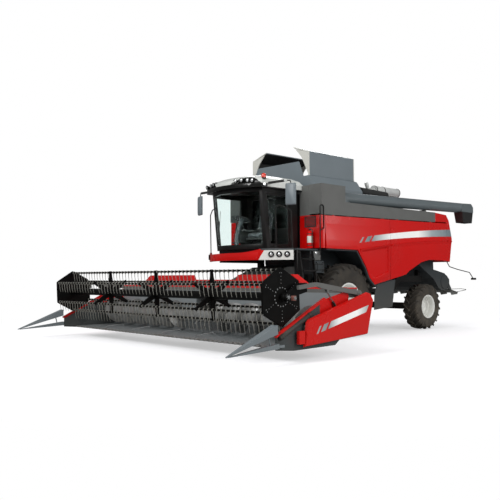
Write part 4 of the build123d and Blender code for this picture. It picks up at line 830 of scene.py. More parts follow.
def makeWheel(node, look):
    low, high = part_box(node)
    centre = (low + high) / 2
    radius, half = (high.z - low.z) / 2 - 0.001, (high.x - low.x) / 2
    side = 1 if centre.x > 0 else -1
    rim = look["rimRadius"]
    tread = radius - look["lugHeight"]
    shape = bmesh.new()
    profile = [(across * half, rim + height * (tread - rim)) for across, height in carcassProfile]
    profile += [(-across, height) for across, height in profile[::-1]]
    addTurned(shape, profile, centre, (1, 0, 0), tyreSteps)
    for lugSide in (1, -1):
        for i in range(look["lugs"]):
            start = 2 * math.pi * (i + (0.5 if lugSide > 0 else 0)) / look["lugs"]
            addLug(shape, centre, radius, half, lugSide, start, look)
    # bead rib and a ring on each sidewall
    for face in (1, -1):
        for share, height, size in ((0.885, 0.16, 0.007), (0.955, 0.5, 0.004)):
            middle = rim + height * (tread - rim)
            wall = share * half
            ring = [(wall, middle - size), (wall + size, middle), (wall, middle + size)]
            addTurned(shape, ring, centre, (face, 0, 0), tyreSteps)
    finishPiece(
        "tyre_" + node, shape, ["tyreRubber"], node, edge=0.006, stands=[node], sharp=40
    )
    # rim: flanges, drop well and a dished disc with hub and bolts
    shape = bmesh.new()
    edge = 0.84 * half
    well = [
        (0.06, -0.03), (edge - 0.05, -0.012), (edge - 0.004, -0.001), (edge + 0.004, 0.026),
        (edge + 0.014, 0.024), (edge + 0.006, -0.012), (edge - 0.05, -0.026), (0.06, -0.044),
    ]
    well = [(across, rim + height) for across, height in well]
    mirrored = [(-across, height) for across, height in well[::-1]]
    addTurned(shape, mirrored[3:] + well + mirrored[:3], centre, (side, 0, 0), rimSteps, closed=True)
    disc = [
        (0.062, rim - 0.042), (0.05, rim - 0.07), (0.0, rim * 0.74), (-0.035, rim * 0.56), (-0.035, 0.165),
        (-0.006, 0.155), (-0.002, 0.105), (0.05, 0.098), (0.058, 0.085), (0.058, 0.0),
        (-0.05, 0.0), (-0.05, rim * 0.56), (-0.014, rim * 0.75), (0.036, rim - 0.06), (0.045, rim - 0.042),
    ]
    addTurned(shape, disc, centre, (side, 0, 0), rimSteps)
    for i in range(look["bolts"]):
        angle = 2 * math.pi * (i + 0.5) / look["bolts"]
        spot = centre + Vector((-side * 0.006, 0.13 * math.cos(angle), 0.13 * math.sin(angle)))
        addBolt(shape, spot, (side, 0, 0), 0.014)
    finishPiece("rim_" + node, shape, ["silverEnamel"], node, sharp=50)


for sideName, sideSign in sides:
    makeWheel("front_wheel_" + sideName, frontWheelLook)
    makeWheel("rear_wheel_" + sideName, rearWheelLook)
print("wheels made")

# Reel bars: a tube with its crank, and nylon tines hanging from clips
tineLook = {
    "pitch": 0.13,
    "width": 0.011,
    "thick": 0.008,
    "clip": 0.009,
    "barRadius": 0.02,
    "spiders": (-1.9, 0, 1.9),
    "clear": 0.035,
    # rows: share of the length, how far back it bends, share of the width
    "rows": ((0.0, 0.004, 1.1), (0.35, 0.005, 1.0), (0.7, 0.016, 0.85), (1.0, 0.033, 0.55)),
}


def addTine(shape, x, y, z, drop):
    radius, clip = tineLook["barRadius"], tineLook["clip"]
    half, thick = tineLook["width"] / 2, tineLook["thick"] / 2
    outline = [
        (y - radius - clip, z - radius * 0.5), (y - radius - clip, z + radius * 0.6),
        (y - radius * 0.4, z + radius + clip * 0.6), (y + radius * 0.6, z + radius + clip * 0.6),
        (y + radius + clip, z), (y + radius + clip, z - radius),
        (y + radius * 0.5, z - radius - 0.016), (y - radius * 0.6, z - radius - 0.012),
    ]
    addPrism(shape, outline, "x", x - half * 1.7, x + half * 1.7)
    rows = []
    for share, back, scale in tineLook["rows"]:
        height = z - radius - 0.008 - share * (drop - radius - 0.009)
        rows.append([
            shape.verts.new((x + a * half * scale, y + back + b * thick * scale, height))
            for a, b in ((-1, -1), (1, -1), (1, 1), (-1, 1))
        ])
    addSkin(shape, rows, caps=False)
    addFace(shape, rows[-1], 0)


def makeReelBar(index):
    node, body = f"tine_bar_{index}", f"bar_{index}"
    low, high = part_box(node)
    radius = tineLook["barRadius"]
    y, z = low.y + radius, high.z - radius
    crankFace = low.x + 0.034
    pinY = high.y - 0.01
    shape = bmesh.new()
    addRod(shape, (crankFace - 0.012, y, z), (high.x, y, z), radius, 16, soft=0.002)
    arm = [
        around((middle, z), reach, math.radians(start + 30 * i))
        for middle, reach, start in ((y, 0.026, 90), (pinY, 0.018, 270))
        for i in range(7)
    ]
    addPrism(shape, arm, "x", crankFace - 0.012, crankFace)
    addRod(shape, (low.x, pinY, z), (crankFace, pinY, z), 0.01, 10)
    finishPiece(f"reel_bar_{index}", shape, ["reelBlack"], body, stands=[node])
    shape = bmesh.new()
    count = int(2 * (high.x - 0.085) / tineLook["pitch"])
    for k in range(count + 1):
        x = (k - count / 2) * tineLook["pitch"]
        if min(abs(x - station) for station in tineLook["spiders"]) > tineLook["clear"]:
            addTine(shape, x, y, z, z - low.z)
    finishPiece(f"reel_tines_{index}", shape, ["nylon"], body)


for barNumber in range(1, 7):
    makeReelBar(barNumber)
print("reel bars made")

# Reel plates: bolts in a ring round the hub, rows towards the corners, stiffening edge strips.
# Sizes in metres, the first corner's angle in degrees.
reelLook = {
    "centre": (-4.62, 1.15),
    "plateFace": 3.79,
    "plateRadius": 0.519,
    "firstCorner": 92.6,
    "boltRing": 0.165,
    "hubRing": 0.105,
    "shaftCap": 3.915,
    # rows: distance from the centre, half width
    "armOutline": ((0.06, -0.062), (0.30, -0.05), (0.43, -0.026), (0.43, 0.026), (0.30, 0.05), (0.06, 0.062)),
}


def cornerAngle(corner):
    return math.radians(reelLook["firstCorner"] + 60 * corner)


def makeReelTrim():
    look, centre = reelLook, reelLook["centre"]
    shape = bmesh.new()
    for side in (1, -1):
        face = side * look["plateFace"]
        for i in range(16):
            angle = math.radians(look["firstCorner"] + 22.5 * (i + 0.5))
            addBolt(shape, (face, *around(centre, look["boltRing"], angle)), (side, 0, 0), 0.009)
        for corner in range(6):
            for radius in (0.24, 0.30, 0.36, 0.42):
                for across in (-0.02, 0.02) if radius > 0.4 else (0,):
                    spot = (face, *around(centre, radius, cornerAngle(corner), across))
                    addBolt(shape, spot, (side, 0, 0), 0.006)
    finishPiece("reel_plate_bolts", shape, ["scouredSteel"], "reel")
    # folded edge strips between the corners, and bolts round the hubs of the arms
    shape = bmesh.new()
    for side in (1, -1):
        inner = side * (look["plateFace"] - 0.012)
        for corner in range(6):
            outline = [
                around(centre, look["plateRadius"] * share, cornerAngle(corner + part))
                for share, part in ((0.985, 0.06), (0.985, 0.94), (0.955, 0.94), (0.955, 0.06))
            ]
            addPrism(shape, outline, "x", inner - side * 0.022, inner)
    for station in tineLook["spiders"]:
        for i in range(8):
            for face in (1, -1):
                spot = (station + face * 0.02, *around(centre, look["hubRing"], math.radians(45 * i)))
                addBolt(shape, spot, (face, 0, 0), 0.009)
    finishPiece("reel_edge_strips", shape, ["reelBlack"], "reel", edge=0.001)
    # broad tapered arms from each hub to the bars
    shape = bmesh.new()
    for station in tineLook["spiders"]:
        for corner in range(6):
            angle = cornerAngle(corner)
            outline = [around(centre, radius, angle, half) for radius, half in look["armOutline"]]
            addPrism(shape, outline, "x", station - 0.016, station + 0.016)
    finishPiece("reel_stars", shape, ["reelBlack"], "reel", edge=0.003)


makeReelTrim()


# Caps with bolts on the reel's shaft, and its hydraulic motor on the left
def makeReelDrive():
    y, z = reelLook["centre"]
    shape = bmesh.new()
    cap = [(0, 0), (0, 0.066), (0.04, 0.062), (0.046, 0.05), (0.046, 0)]
    stub = [(0.046, 0), (0.046, 0.03), (0.055, 0.028), (0.055, 0)]
    for side in (1, -1):
        at = (side * reelLook["shaftCap"], y, z)
        addTurned(shape, cap, at, (side, 0, 0), 24, 0)
        addTurned(shape, stub, at, (side, 0, 0), 20, 1)
        for i in range(6):
            spot = (side * (reelLook["shaftCap"] + 0.04), *around((y, z), 0.045, math.radians(60 * i)))
            addBolt(shape, spot, (side, 0, 0), 0.007, 1)
    finishPiece("reel_shaft_caps", shape, ["reelBlack", "rawCasting"], "carriers")
    shape = bmesh.new()
    face, y, z = 3.935, y + 0.18, z - 0.02
    addSlab(shape, "x", 3.876, face, (y, z), (0.075, 0.085), 0.015)
    addRod(shape, (face, y, z), (3.955, y, z), 0.028, 16, 1, soft=0.004)
    for across in (-0.026, 0.026):
        for up in (-0.03, 0.03):
            addBolt(shape, (face, y + across, z + up), (1, 0, 0), 0.005, 1)
    finishPiece("reel_motor", shape, ["primer", "rawCasting"], "carriers", edge=0.004)


makeReelDrive()
print("reel trim made")

# Driver's place: a sprung base, cushions, arm rests, column and wheel
driverLook = {
    "floor": 2.2103,
    "seatAt": (0, -1.60),
    "cushion": ((-0.25, 0.25), (-1.85, -1.34), (2.455, 2.575)),
    "back": ((-0.24, 0.24), (-1.46, -1.35), (2.57, 3.17)),
    "backTilt": -10,
    "backPivot": (-1.44, 2.57),
    "wheelAt": (0, -2.14, 2.89),
    "wheelTilt": (0, 0.35, 0.94),
    "wheelRadius": 0.19,
    "wheelRim": 0.015,
}
padLook = {
    "cuts": 7,
    "flatness": 2.6,  # how square the pad stays before its faces fall off
    "crown": 0.6,
    "voxel": 0.006,
    "pressure": 4,
    "frames": 20,
    "cap": 0.012,  # no point of a pad moves further than this
}


# Fills a closed pad like foam under cloth: remeshed and blown up a little, within the cap and
# not below the rest
def swellPad(piece, rest):
    remesh = piece.modifiers.new("remesh", "REMESH")
    remesh.mode = "VOXEL"
    remesh.voxel_size = padLook["voxel"]
    depsgraph = bpy.context.evaluated_depsgraph_get()
    mesh = bpy.data.meshes.new_from_object(piece.evaluated_get(depsgraph), depsgraph=depsgraph)
    piece.modifiers.clear()
    piece.data = mesh
    cloth = piece.modifiers.new("cloth", "CLOTH")
    cloth.settings.use_pressure = True
    cloth.settings.uniform_pressure_force = padLook["pressure"]
    cloth.settings.effector_weights.gravity = 0
    for step in range(padLook["frames"]):
        bpy.context.scene.frame_set(step + 1)
    settled = piece.evaluated_get(bpy.context.evaluated_depsgraph_get())
    places = [vert.co.copy() for vert in settled.data.vertices]
    piece.modifiers.clear()
    for vert, place in zip(mesh.vertices, places):
        move = place - vert.co
        if move.length > padLook["cap"]:
            move *= padLook["cap"] / move.length
        vert.co = vert.co + move
        vert.co.z = max(vert.co.z, rest)
    mesh.shade_smooth()
    bpy.context.scene.frame_set(1)


# A crowned closed pad: a subdivided block whose faces bulge and whose sides pull in
def makePad(name, low, high, bulge, tilt=0.0, pivot=(0, 0)):
    shape = bmesh.new()
    bmesh.ops.create_cube(shape, size=1)
    bmesh.ops.subdivide_edges(shape, edges=shape.edges, cuts=padLook["cuts"], use_grid_fill=True)
    size, middle = Vector(high) - Vector(low), (Vector(high) + Vector(low)) / 2
    for vert in shape.verts:
        share = [2 * c for c in vert.co]
        fall = [1 - abs(s) ** padLook["flatness"] for s in share]
        place = []
        for axis in range(3):
            others = [fall[k] for k in range(3) if k != axis]
            grow = 1 - bulge + bulge * (others[0] * others[1]) ** padLook["crown"]
            place.append(share[axis] / 2 * size[axis] * grow)
        point = Vector(place) + middle
        y, z = point.y - pivot[0], point.z - pivot[1]
        point.y = pivot[0] + y * math.cos(tilt) - z * math.sin(tilt)
        point.z = pivot[1] + y * math.sin(tilt) + z * math.cos(tilt)
        vert.co = point
    piece = finishPiece(name, shape, ["wovenPolyester"], "chassis", sharp=80)
    swellPad(piece, low[2])
    smooth = piece.modifiers.new("smooth", "SUBSURF")
    smooth.levels = smooth.render_levels = 1


def makeDriverStation():
    look = driverLook
    shape = bmesh.new()
    x, y = look["seatAt"]
    floor = look["floor"]
    addSlab(shape, "z", floor, floor + 0.03, (x, y + 0.08), (0.40, 0.38), 0.03)
    for i in range(6):  # bellows of the seat suspension
        low = floor + 0.03 + 0.028 * i
        wide = 0.34 if i % 2 else 0.37
        addSlab(shape, "z", low, low + 0.028, (x, y + 0.08), (wide, wide - 0.04), 0.04)
    addSlab(shape, "z", floor + 0.198, floor + 0.242, (x, y), (0.46, 0.46), 0.05)
    for side in (1, -1):  # arm rests on their posts
        addSlab(shape, "x", side * 0.245 - 0.02, side * 0.245 + 0.02, (-1.42, 2.52), (0.06, 0.28), 0.02)
        addSlab(shape, "x", side * 0.255 - 0.04, side * 0.255 + 0.04, (-1.64, 2.65), (0.46, 0.055), 0.025)
    # right console with a screen and the drive lever
    addSlab(shape, "x", -0.44, -0.33, (-1.66, 2.50), (0.62, 0.34), 0.05)
    addRod(shape, (-0.385, -1.93, 2.64), (-0.385, -2.02, 2.86), 0.012)
    addSlab(shape, "y", -2.06, -2.03, (-0.385, 2.93), (0.24, 0.18), 0.015)
    addRod(shape, (-0.385, -1.75, 2.66), (-0.385, -1.78, 2.76), 0.01)
    knob = [(0, 0), (0, 0.02), (0.03, 0.028), (0.07, 0.022), (0.09, 0)]
    addTurned(shape, knob, (-0.385, -1.78, 2.75), (0, -0.2, 1), 14)
    finishPiece(
        "driver_base", shape, ["rubberSheet"], "chassis", edge=0.006, stands=["driver_station"]
    )
    makePad("seat_cushion", *zip(*look["cushion"]), 0.22)
    makePad("seat_back", *zip(*look["back"]), 0.25, math.radians(look["backTilt"]), look["backPivot"])
    # steering column and wheel
    shape = bmesh.new()
    addSlab(shape, "z", floor, floor + 0.05, (0, -2.33), (0.22, 0.2), 0.05)
    route = smoothRoute([(0, -2.33, floor + 0.03), (0, -2.32, 2.42), (0, -2.25, 2.68), (0, -2.165, 2.86)], 5)
    addTube(shape, route, 0.055, 14)
    wheelAt, tilt = Vector(look["wheelAt"]), Vector(look["wheelTilt"]).normalized()
    addTurned(shape, [(-0.06, 0), (-0.06, 0.045), (0.0, 0.05), (0.018, 0.04), (0.02, 0)], wheelAt, tilt, 20)
    first, second = sideways(tilt)
    for angle in (0, 2.2, 4.1):
        end = wheelAt + (first * math.cos(angle) + second * math.sin(angle)) * look["wheelRadius"]
        addRod(shape, wheelAt, end, 0.01, 8)
    finishPiece("steering_column", shape, ["greyPolyethylene"], "chassis", edge=0.003)
    shape = bmesh.new()
    angles = [2 * math.pi * i / 12 for i in range(12)]
    rim = look["wheelRim"]
    ring = [(rim * math.sin(angle), look["wheelRadius"] + rim * math.cos(angle)) for angle in angles]
    addTurned(shape, ring, wheelAt, tilt, 40, closed=True)
    finishPiece("steering_wheel", shape, ["rubberSheet"], "chassis", sharp=80)


makeDriverStation()

# Cab door: a frame with its pane, straps and handle; corners are (y, z)
doorLook = {
    "outer": [(-1.426, 2.216), (-2.089, 2.216), (-2.229, 3.464), (-1.426, 3.464)],
    "inner": [(-1.478, 2.278), (-2.048, 2.278), (-2.176, 3.412), (-1.478, 3.412)],
    "faces": (0.862, 0.896),
    "hinges": (2.40, 3.27),
}


def makeCabDoor():
    inside, outside = doorLook["faces"]
    shape = bmesh.new()
    addWindow(shape, doorLook["outer"], doorLook["inner"], "x", inside, outside)
    for low in doorLook["hinges"]:
        addRod(shape, (0.912, -1.415, low), (0.912, -1.415, low + 0.08), 0.01, 12)
        bottom, top = low + 0.025, low + 0.055
        addPrism(shape, [(-1.48, bottom), (-1.415, bottom), (-1.415, top), (-1.48, top)], "x", 0.903, 0.914)
    addSlab(shape, "x", 0.897, 0.928, (-2.13, 2.80), (0.024, 0.2), 0.011)
    finishPiece(
        "cab_door_frame", shape, ["blackPaint"], "door", edge=0.004, stands=["cab_door"]
    )
    # the pane reaches a little way into the frame
    shape = bmesh.new()
    inner, overlap = doorLook["inner"], 0.006
    middle = [sum(corner[k] for corner in inner) / 4 for k in (0, 1)]
    pane = [tuple(c + overlap * (1 if c > m else -1) for c, m in zip(corner, middle)) for corner in inner]
    addPrism(shape, pane, "x", 0.876, 0.884)
    finishPiece("cab_door_glass", shape, ["laminatedGlass"], "door")


makeCabDoor()
print("cab inside and door made")

# Roof lamps, beacon, wipers and mirrors
roofLook = {
    "arcCentre": -1.08,
    "arcRadius": 1.68,
    "lampStations": (0.35, 0.51, 0.665, 0.82),
    "lampHeights": (3.735, 3.742, 3.730, 3.712),
    "lampFront": -2.575,
    "beacon": (0.955, -2.33, 3.752),
    # windscreen wipers: foot and tip
    "wipers": (((0.12, -2.53, 2.30), (0.42, -2.585, 2.98)), ((-0.5, -2.455, 2.30), (-0.28, -2.59, 3.02))),
}


def makeRoofTrim():
    look = roofLook
    shape = bmesh.new()
    bowl = [
        (-0.05, 0), (-0.05, 0.03), (-0.03, 0.042), (0.0, 0.048), (0.012, 0.048), (0.012, 0.038),
        (0.004, 0.036),
    ]
    for side in (1, -1):
        aim = Vector((side * 0.25, -1, -0.1)).normalized()
        for x, z in zip(look["lampStations"], look["lampHeights"]):
            y = min(look["arcCentre"] - math.sqrt(look["arcRadius"] ** 2 - x**2) + 0.055, look["lampFront"])
            addTurned(shape, bowl, (side * x, y, z), aim, 24, 0)
            addTurned(shape, [(0.004, 0.036), (0.012, 0.024), (0.015, 0.0)], (side * x, y, z), aim, 24, 1)
    finishPiece("roof_lamps", shape, ["blackPaint", "lampLens"], "chassis", sharp=50)
    shape = bmesh.new()
    foot = [(0, 0), (0, 0.055), (0.03, 0.055), (0.034, 0.04), (0.034, 0)]
    dome = [(0.034, 0.054), (0.10, 0.054), (0.122, 0.045), (0.134, 0.025), (0.138, 0)]
    for finish, profile in enumerate((foot, dome)):
        addTurned(shape, profile, look["beacon"], (0, 0, 1), 24, finish)
    # a small white side lamp below it
    lamp = [(0, 0), (0, 0.03), (0.02, 0.036), (0.03, 0.034), (0.034, 0)]
    addTurned(shape, lamp, (1.002, -2.36, 3.62), (1, -0.3, 0), 20, 2)
    beacon = ["blackPaint", "beaconAcrylic", "lampLens"]
    finishPiece("beacon", shape, beacon, "chassis", sharp=50)
    # the mirror arms' thick roots on the roof's sides
    shape = bmesh.new()
    for side in (1, -1):
        root, bend, end = ((side * x, y, 3.665) for x, y in ((1.002, -2.215), (1.50, -2.215), (1.56, -2.185)))
        addRod(shape, root, bend, 0.03, 16, 0, soft=0.006)
        addRod(shape, bend, end, 0.024, 16, 1, soft=0.004)
    sleeves = ["rubberSheet", "whiteGelcoat"]
    finishPiece("mirror_arm_sleeves", shape, sleeves, "chassis", sharp=50)
    # wipers: a drive cap, the arm, the blade, and the pin between them
    shape = bmesh.new()
    for foot, tip in look["wipers"]:
        foot, tip = Vector(foot), Vector(tip)
        run = tip - foot
        addTurned(shape, [(-0.02, 0), (-0.02, 0.022), (0.03, 0.018), (0.03, 0)], foot, (0, -1, 0), 14)
        addTube(shape, [foot + run * t + Vector((0, -0.028, 0)) for t in (0, 0.4, 0.75)], 0.008, 8)
        addTube(shape, [foot + run * t + Vector((0, -0.012, 0)) for t in (0.45, 0.75, 1.08)], 0.006, 6)
        addTube(shape, [foot + run * 0.75 + Vector((0, y, 0)) for y in (-0.03, -0.012)], 0.006, 6)
    finishPiece("wipers", shape, ["rubberSheet"], "chassis")


mirrorLook = {
    "at": (1.636, -2.142, 3.355),
    "turn": 17.5,
    # rows of the shell: depth, half width, half height, corner
    "rows": (
        (-0.014, 0.125, 0.245, 0.02), (0.012, 0.127, 0.247, 0.03), (0.034, 0.118, 0.238, 0.04),
        (0.046, 0.095, 0.215, 0.05),
    ),
}


def makeMirrors():
    turn = math.radians(mirrorLook["turn"])
    x, y, z = mirrorLook["at"]
    for name, side in sides:
        centre = Vector((side * x, y, z))
        outward = Vector((math.sin(turn) * side, -math.cos(turn), 0))  # the mirror's back, towards the front
        along = Vector((0, 0, 1)).cross(outward)
        shape = bmesh.new()
        rows = [
            [
                shape.verts.new(centre + outward * depth + along * u + Vector((0, 0, v)))
                for u, v in roundedOutline(wide, tall, corner)
            ]
            for depth, wide, tall, corner in mirrorLook["rows"]
        ]
        addSkin(shape, rows, caps=False)
        addFace(shape, rows[-1], 0)
        addFace(shape, rows[0][::-1], 1)
        finishPiece("mirror_" + name, shape, ["blueGreyEnamel", "chrome"], "chassis", sharp=50)


makeRoofTrim()
makeMirrors()
print("cab outside made")


# Lamps on the bumper's slanted panel, and on the right panel
def makeBumperLamps():
    shape = bmesh.new()
    start, end = Vector((0.955, -2.455, 2.01)), Vector((1.625, -2.062, 2.01))
    outward = Vector((end.y - start.y, start.x - end.x, 0)).normalized()
    lamps = [(start + (end - start) * share, outward) for share in (0.34, 0.58, 0.82)]
    lamps.append((Vector((-1.13, -2.25, 2.0)), Vector((-0.57, -0.82, 0))))
    bezel = [(-0.01, 0), (-0.01, 0.066), (0.012, 0.07), (0.02, 0.064), (0.02, 0.046), (0.006, 0.034)]
    for at, aim in lamps:
        addTurned(shape, bezel, at, aim, 28, 0)
        addTurned(shape, [(0.006, 0.034), (0.013, 0.02), (0.015, 0)], at, aim, 28, 1)
    finishPiece("bumper_lamps", shape, ["blackPaint", "lampLens"], "chassis", sharp=50)
    # the bow's top edge rises to a tip beside the lamp panel
    shape = bmesh.new()
    rows = []
    for i in range(13):
        x, bottom = 0.30 + 0.65 * i / 12, 2.056
        front = -2.62 + 0.165 * ((x + 0.06) / 1.02) ** 2
        back, top = front + 0.05, 2.061 + 0.075 * (i / 12) ** 2
        corners = ((front, bottom), (back, bottom), (back, top), (front, top))
        rows.append([shape.verts.new((x, y, z)) for y, z in corners])
    addSkin(shape, rows)
    finishPiece("bumper_tip", shape, ["redEnamel"], "chassis", edge=0.008)


makeBumperLamps()


# Fire extinguisher, service boxes with their handles, and the louvred air inlet
def makePlatformTrim():
    shape = bmesh.new()
    at, up = Vector((1.345, -1.20, 2.17)), (0, 0, 1)
    body = [
        (0, 0), (0, 0.055), (0.012, 0.066), (0.33, 0.066), (0.38, 0.05), (0.40, 0.02), (0.43, 0.02),
        (0.43, 0),
    ]
    addTurned(shape, body, at, up, 28, 0)
    addTurned(shape, [(0.425, 0), (0.425, 0.024), (0.46, 0.024), (0.46, 0)], at, up, 16, 1)
    addPrism(shape, [(-1.29, 2.622), (-1.19, 2.632), (-1.19, 2.642), (-1.29, 2.640)], "x", 1.335, 1.355, 1)
    hose = [
        (1.37, -1.20, 2.61), (1.43, -1.22, 2.60), (1.437, -1.225, 2.50), (1.428, -1.215, 2.34),
        (1.42, -1.21, 2.25),
    ]
    addTube(shape, smoothRoute(hose), 0.009, 8, 1)
    for height in (0.06, 0.33):
        addBand(shape, height, height + 0.02, 0.067, 0.07, at, up, 28, 1)
    addBand(shape, 0.13, 0.29, 0.0665, 0.068, at, up, 28, 2)
    extinguisher = ["extinguisherRed", "rubberSheet", "blankLabel"]
    finishPiece("fire_extinguisher", shape, extinguisher, "chassis", sharp=45)
    # cabinet and battery box below the platform's rear corner, with a lamp and two catches
    shape = bmesh.new()
    addSlab(shape, "y", -1.395, -1.13, (1.555, 1.985), (0.11, 0.22), 0.015, 0)
    addSlab(shape, "y", -1.395, -1.06, (1.575, 1.725), (0.15, 0.28), 0.015, 1)
    lamp = [(0, 0), (0, 0.03), (0.015, 0.034), (0.02, 0.026), (0.024, 0)]
    addTurned(shape, lamp, (1.611, -1.30, 2.05), (1, -0.2, 0), 20, 2)
    for height in (1.66, 1.79):
        addSlab(shape, "y", -1.36, -1.10, (1.656, height), (0.014, 0.02), 0.006, 3)
    boxes = ["greyPowderCoat", "greyPolyethylene", "lampLens", "rubberSheet"]
    finishPiece("service_boxes", shape, boxes, "chassis", edge=0.004)
    shape = bmesh.new()
    for y in (-1.34, -1.12):
        corners = [(x, y, z) for x, z in ((1.655, 1.62), (1.70, 1.66), (1.70, 1.80), (1.655, 1.84))]
        addTube(shape, smoothRoute(corners), 0.009, 8)
    finishPiece("service_box_handles", shape, ["rubberSheet"], "chassis", sharp=60)
    # louvred air inlet in the front wall, by the body's corner
    shape = bmesh.new()
    outer = [(1.10, 2.68), (1.46, 2.68), (1.46, 2.94), (1.10, 2.94)]
    inner = [(1.12, 2.70), (1.44, 2.70), (1.44, 2.92), (1.12, 2.92)]
    addWindow(shape, outer, inner, "y", -1.122, -1.1103)
    for i in range(7):
        low = 2.705 + 0.031 * i
        addPrism(shape, [(-1.1105, low + 0.02), (-1.119, low), (-1.1105, low + 0.004)], "x", 1.12, 1.44)
    finishPiece("air_inlet", shape, ["rubberSheet"], "chassis", edge=0.001)


makePlatformTrim()
print("platform trim made")


# Silencer bands, and the corrugated air duct beside it
def makeEngineTrim():
    shape = bmesh.new()
    for station in (2.335, 2.70, 3.41):
        addBand(shape, 0, 0.02, 0.130, 0.138, (0.56, station, 3.93), (0, 1, 0), 40)
    finishPiece("silencer_bands", shape, ["blackPaint"], "chassis")
    shape = bmesh.new()
    start, end = Vector((0.98, 1.15, 3.76)), Vector((0.98, 2.30, 3.72))
    length, count = (end - start).length, 34
    folds = [(length * i / count, 0.1085 if i % 2 else 0.114) for i in range(count + 1)]
    addTurned(shape, [(-0.004, 0)] + folds + [(length + 0.004, 0)], start, end - start, 32)
    finishPiece("air_duct", shape, ["rubberSheet"], "chassis", sharp=80)


# Dark sheets on the covers' inner faces, as painted shade inside the covers
def makeCoverShadeSheets():
    inner = 0.9875
    outline = [
        (inner, 4.03), (inner, 4.553), (0.502, 4.722), (0.505, 4.717), (inner - 0.006, 4.548),
        (inner - 0.006, 4.03),
    ]
    for name, side in sides:
        low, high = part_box("tank_cover_" + name)
        shape = bmesh.new()
        addPrism(shape, [(side * x, z) for x, z in outline], "y", low.y + 0.026, high.y - 0.026)
        # painted shade: the dark sheet stands for shade on the cover's inner face
        finishPiece("tank_cover_shade_sheet_" + name, shape, ["rubberSheet"], "cover_" + name)


makeEngineTrim()
makeCoverShadeSheets()
print("engine and tank trim made")

# Header: dark drive tubes and crop guides
headerLook = {
    "guideRods": (-2.6, -1.4, -0.2, 1.0),
    # a guide rod's route from its own x
    "guideRoute": ((0, -4.36, 0.262), (0.02, -4.28, 0.30), (0.10, -3.98, 0.335), (0.12, -3.90, 0.30)),
}


def makeHeaderTrim():
    shape = bmesh.new()
    for side in (1, -1):
        start, end = Vector((side * 3.906, -4.785, 0.4566)), Vector((side * 3.906, -3.99, 0.845))
        addRod(shape, start, end, 0.0428, 24, soft=0.004)
        run = (end - start).normalized()
        for along in (0.04, 0.80):
            addBand(shape, 0, 0.03, 0.042, 0.05, start + run * along, run, 24)
    finishPiece("header_drive_tubes", shape, ["rubberSheet"], "feeder", sharp=50)
    # rods that part the crop ahead of the auger
    shape = bmesh.new()
    for rod in headerLook["guideRods"]:
        addTube(shape, smoothRoute([(rod + x, y, z) for x, y, z in headerLook["guideRoute"]]), 0.009, 8)
    finishPiece("crop_guides", shape, ["rawCasting"], "feeder", sharp=60)


makeHeaderTrim()
print("header trim made")


# Rear lamp lenses: red towards the middle, amber outside
def makeRearLamps():
    shape = bmesh.new()
    lens = [(5.960, 1.389), (5.9705, 1.392), (5.9705, 1.438), (5.960, 1.441)]
    for side in (1, -1):
        for low, high, finish in ((1.545, 1.595, 0), (1.60, 1.648, 1)):
            addPrism(shape, lens, "x", side * low, side * high, finish)
    finishPiece("rear_lamp_lenses", shape, ["redAcrylic", "amberAcrylic"], "chassis", edge=0.003)


makeRearLamps()
print("rear lamps made")

# The form line along the side doors and the rear hood: a pressed ridge at
# height + slope * y + bend * y squared, laid on the panel that carries it. Sizes in metres.
bodyLine = {
    "height": 2.13,
    "slope": 0.145,
    "bend": -0.0128,
    "step": 0.06,  # between two sections
    "margin": 0.03,  # left free at each end of the panel
    # section: above the line, proud of the panel
    "section": (
        (-0.08, -0.002), (-0.08, 0.0005), (-0.04, 0.008), (0, 0.026), (0.014, 0.0005), (0.014, -0.002),
    ),
    "panelFrom": 1.5,  # a hit nearer the middle is not on the panel
}


def ridgeSection(panel, side, y):
    look = bodyLine
    line = look["height"] + look["slope"] * y + look["bend"] * y * y
    points = []
    for above, proud in look["section"]:
        hit = panel.ray_cast(Vector((side * 3, y, line + above)), Vector((-side, 0, 0)))[0]
        if hit is None or hit.x * side < look["panelFrom"]:
            return None
        points.append(hit + Vector((side * proud, 0, 0)))
    return points


def makeBodyLine():
    look = bodyLine
    depsgraph = bpy.context.evaluated_depsgraph_get()
    for name, side in sides:
        for node, body in (
            ("rear_hood", "chassis"),
            (f"side_door_front_{name}", f"door_front_{name}"),
            (f"side_door_rear_{name}", f"door_rear_{name}"),
        ):
            panel = BVHTree.FromObject(bpy.data.objects[node], depsgraph)
            low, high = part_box(node)
            start, length = low[1] + look["margin"], high[1] - low[1] - 2 * look["margin"]
            count = math.ceil(length / look["step"])
            runs = [[]]
            for i in range(count + 1):
                section = ridgeSection(panel, side, start + length * i / count)
                if section:
                    runs[-1].append(section)
                elif runs[-1]:
                    runs.append([])
            runs = [run for run in runs if len(run) > 1]
            if not runs:
                continue
            shape = bmesh.new()
            for run in runs:
                addSkin(shape, [[shape.verts.new(point) for point in section] for section in run])
            piece = f"body_line_{node}" if name in node else f"body_line_{node}_{name}"
            finishPiece(piece, shape, ["redEnamelBodyStripe"], body, sharp=20)


makeBodyLine()
print("body line made")

# Floor, world and lights
lights = {
    # name: place, target, width, watts
    "key": ((2.0, -19.0, 13.0), (0, -1, 1.5), 9, 2300),
    "fill": ((19.0, -2.0, 9.0), (0, 0, 1.5), 10, 1500),
    "back": ((-12.0, 14.0, 12.0), (0, 1, 2), 9, 1100),
    "side": ((14.0, 12.0, 4.5), (1.6, 1.5, 2.2), 3, 110),
}


def makeLights():
    for name, (place, target, width, watts) in lights.items():
        lamp = bpy.data.lights.new(name, "AREA")
        lamp.shape = "DISK"
        lamp.size = width
        lamp.energy = watts
        piece = addObject(name, lamp)
        piece.location = place
        piece.rotation_euler = (Vector(target) - Vector(place)).to_track_quat("-Z", "Y").to_euler()


# Where the camera looks straight on, or through glass
def seenDirectly(tree, path):
    return maths(tree, "MAXIMUM", path["Is Camera Ray"], path["Is Transmission Ray"])


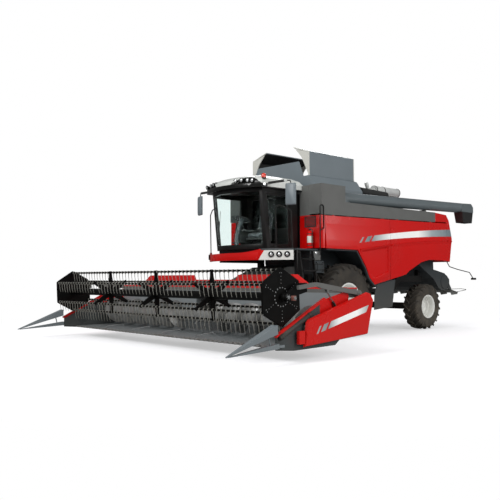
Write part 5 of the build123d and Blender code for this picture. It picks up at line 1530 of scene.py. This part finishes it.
# White where the camera or glass sees it, and plain soft light elsewhere
def makeWorld():
    world = bpy.data.worlds.new("studio")
    bpy.context.scene.world = world
    tree = emptyTree(world)
    path = addNode(tree, "ShaderNodeLightPath").outputs
    seen = seenDirectly(tree, path)
    soft, dim, white = (
        addNode(tree, "ShaderNodeBackground", {"Color": (1, 1, 1, 1), "Strength": strength})
        for strength in (0.6, 0.12, 1)
    )
    # gloss sees a dimmer room, as between dark studio flats
    room = mixShader(tree, path["Is Glossy Ray"], soft, dim)
    mix = mixShader(tree, seen, room, white)
    addNode(tree, "ShaderNodeOutputWorld", links={"Surface": mix.outputs[0]})


# Reach and where the floor turns to plain white in metres, with its colour and glow
floorLook = {
    "reach": 70,
    "white": (7, 11),
    "colour": (0.62, 0.62, 0.64, 1),
    "glow": 0.46,
    "bounce": ("#c8c8c8", "#666666"),
}


def makeFloor():
    look = floorLook
    mesh = bpy.data.meshes.new("floor")
    reach = look["reach"]
    corners = [(-reach, -reach, 0), (reach, -reach, 0), (reach, reach, 0), (-reach, reach, 0)]
    mesh.from_pydata(corners, [], [(0, 1, 2, 3)])
    floor = addObject("floor", mesh)
    material = bpy.data.materials.new("paleStudioFloor")
    tree = emptyTree(material)
    path = addNode(tree, "ShaderNodeLightPath").outputs
    seen = seenDirectly(tree, path)
    bounced = mixColour(tree, path["Is Glossy Ray"], *look["bounce"])
    dull = addNode(tree, "ShaderNodeBsdfDiffuse", links={"Color": bounced})
    pale = addNode(tree, "ShaderNodeBsdfDiffuse", {"Color": look["colour"]})
    lift = addNode(tree, "ShaderNodeEmission", {"Strength": look["glow"]})
    lit = addNode(tree, "ShaderNodeAddShader", links={0: pale.outputs[0], 1: lift.outputs[0]})
    # white out from where no shadow falls, so that no horizon shows
    distance = addNode(
        tree, "ShaderNodeVectorMath", links={0: objectPlace(tree)}, operation="LENGTH"
    ).outputs["Value"]
    away = mapRange(tree, distance, *look["white"])
    plain = addNode(tree, "ShaderNodeEmission", {"Strength": 1})
    mix = mixShader(tree, seen, dull, mixShader(tree, away, lit, plain))
    addNode(tree, "ShaderNodeOutputMaterial", links={"Surface": mix.outputs[0]})
    mesh.materials.append(material)


makeLights()
makeWorld()
makeFloor()
bpy.context.scene.view_settings.view_transform = "Standard"
print("stage made")
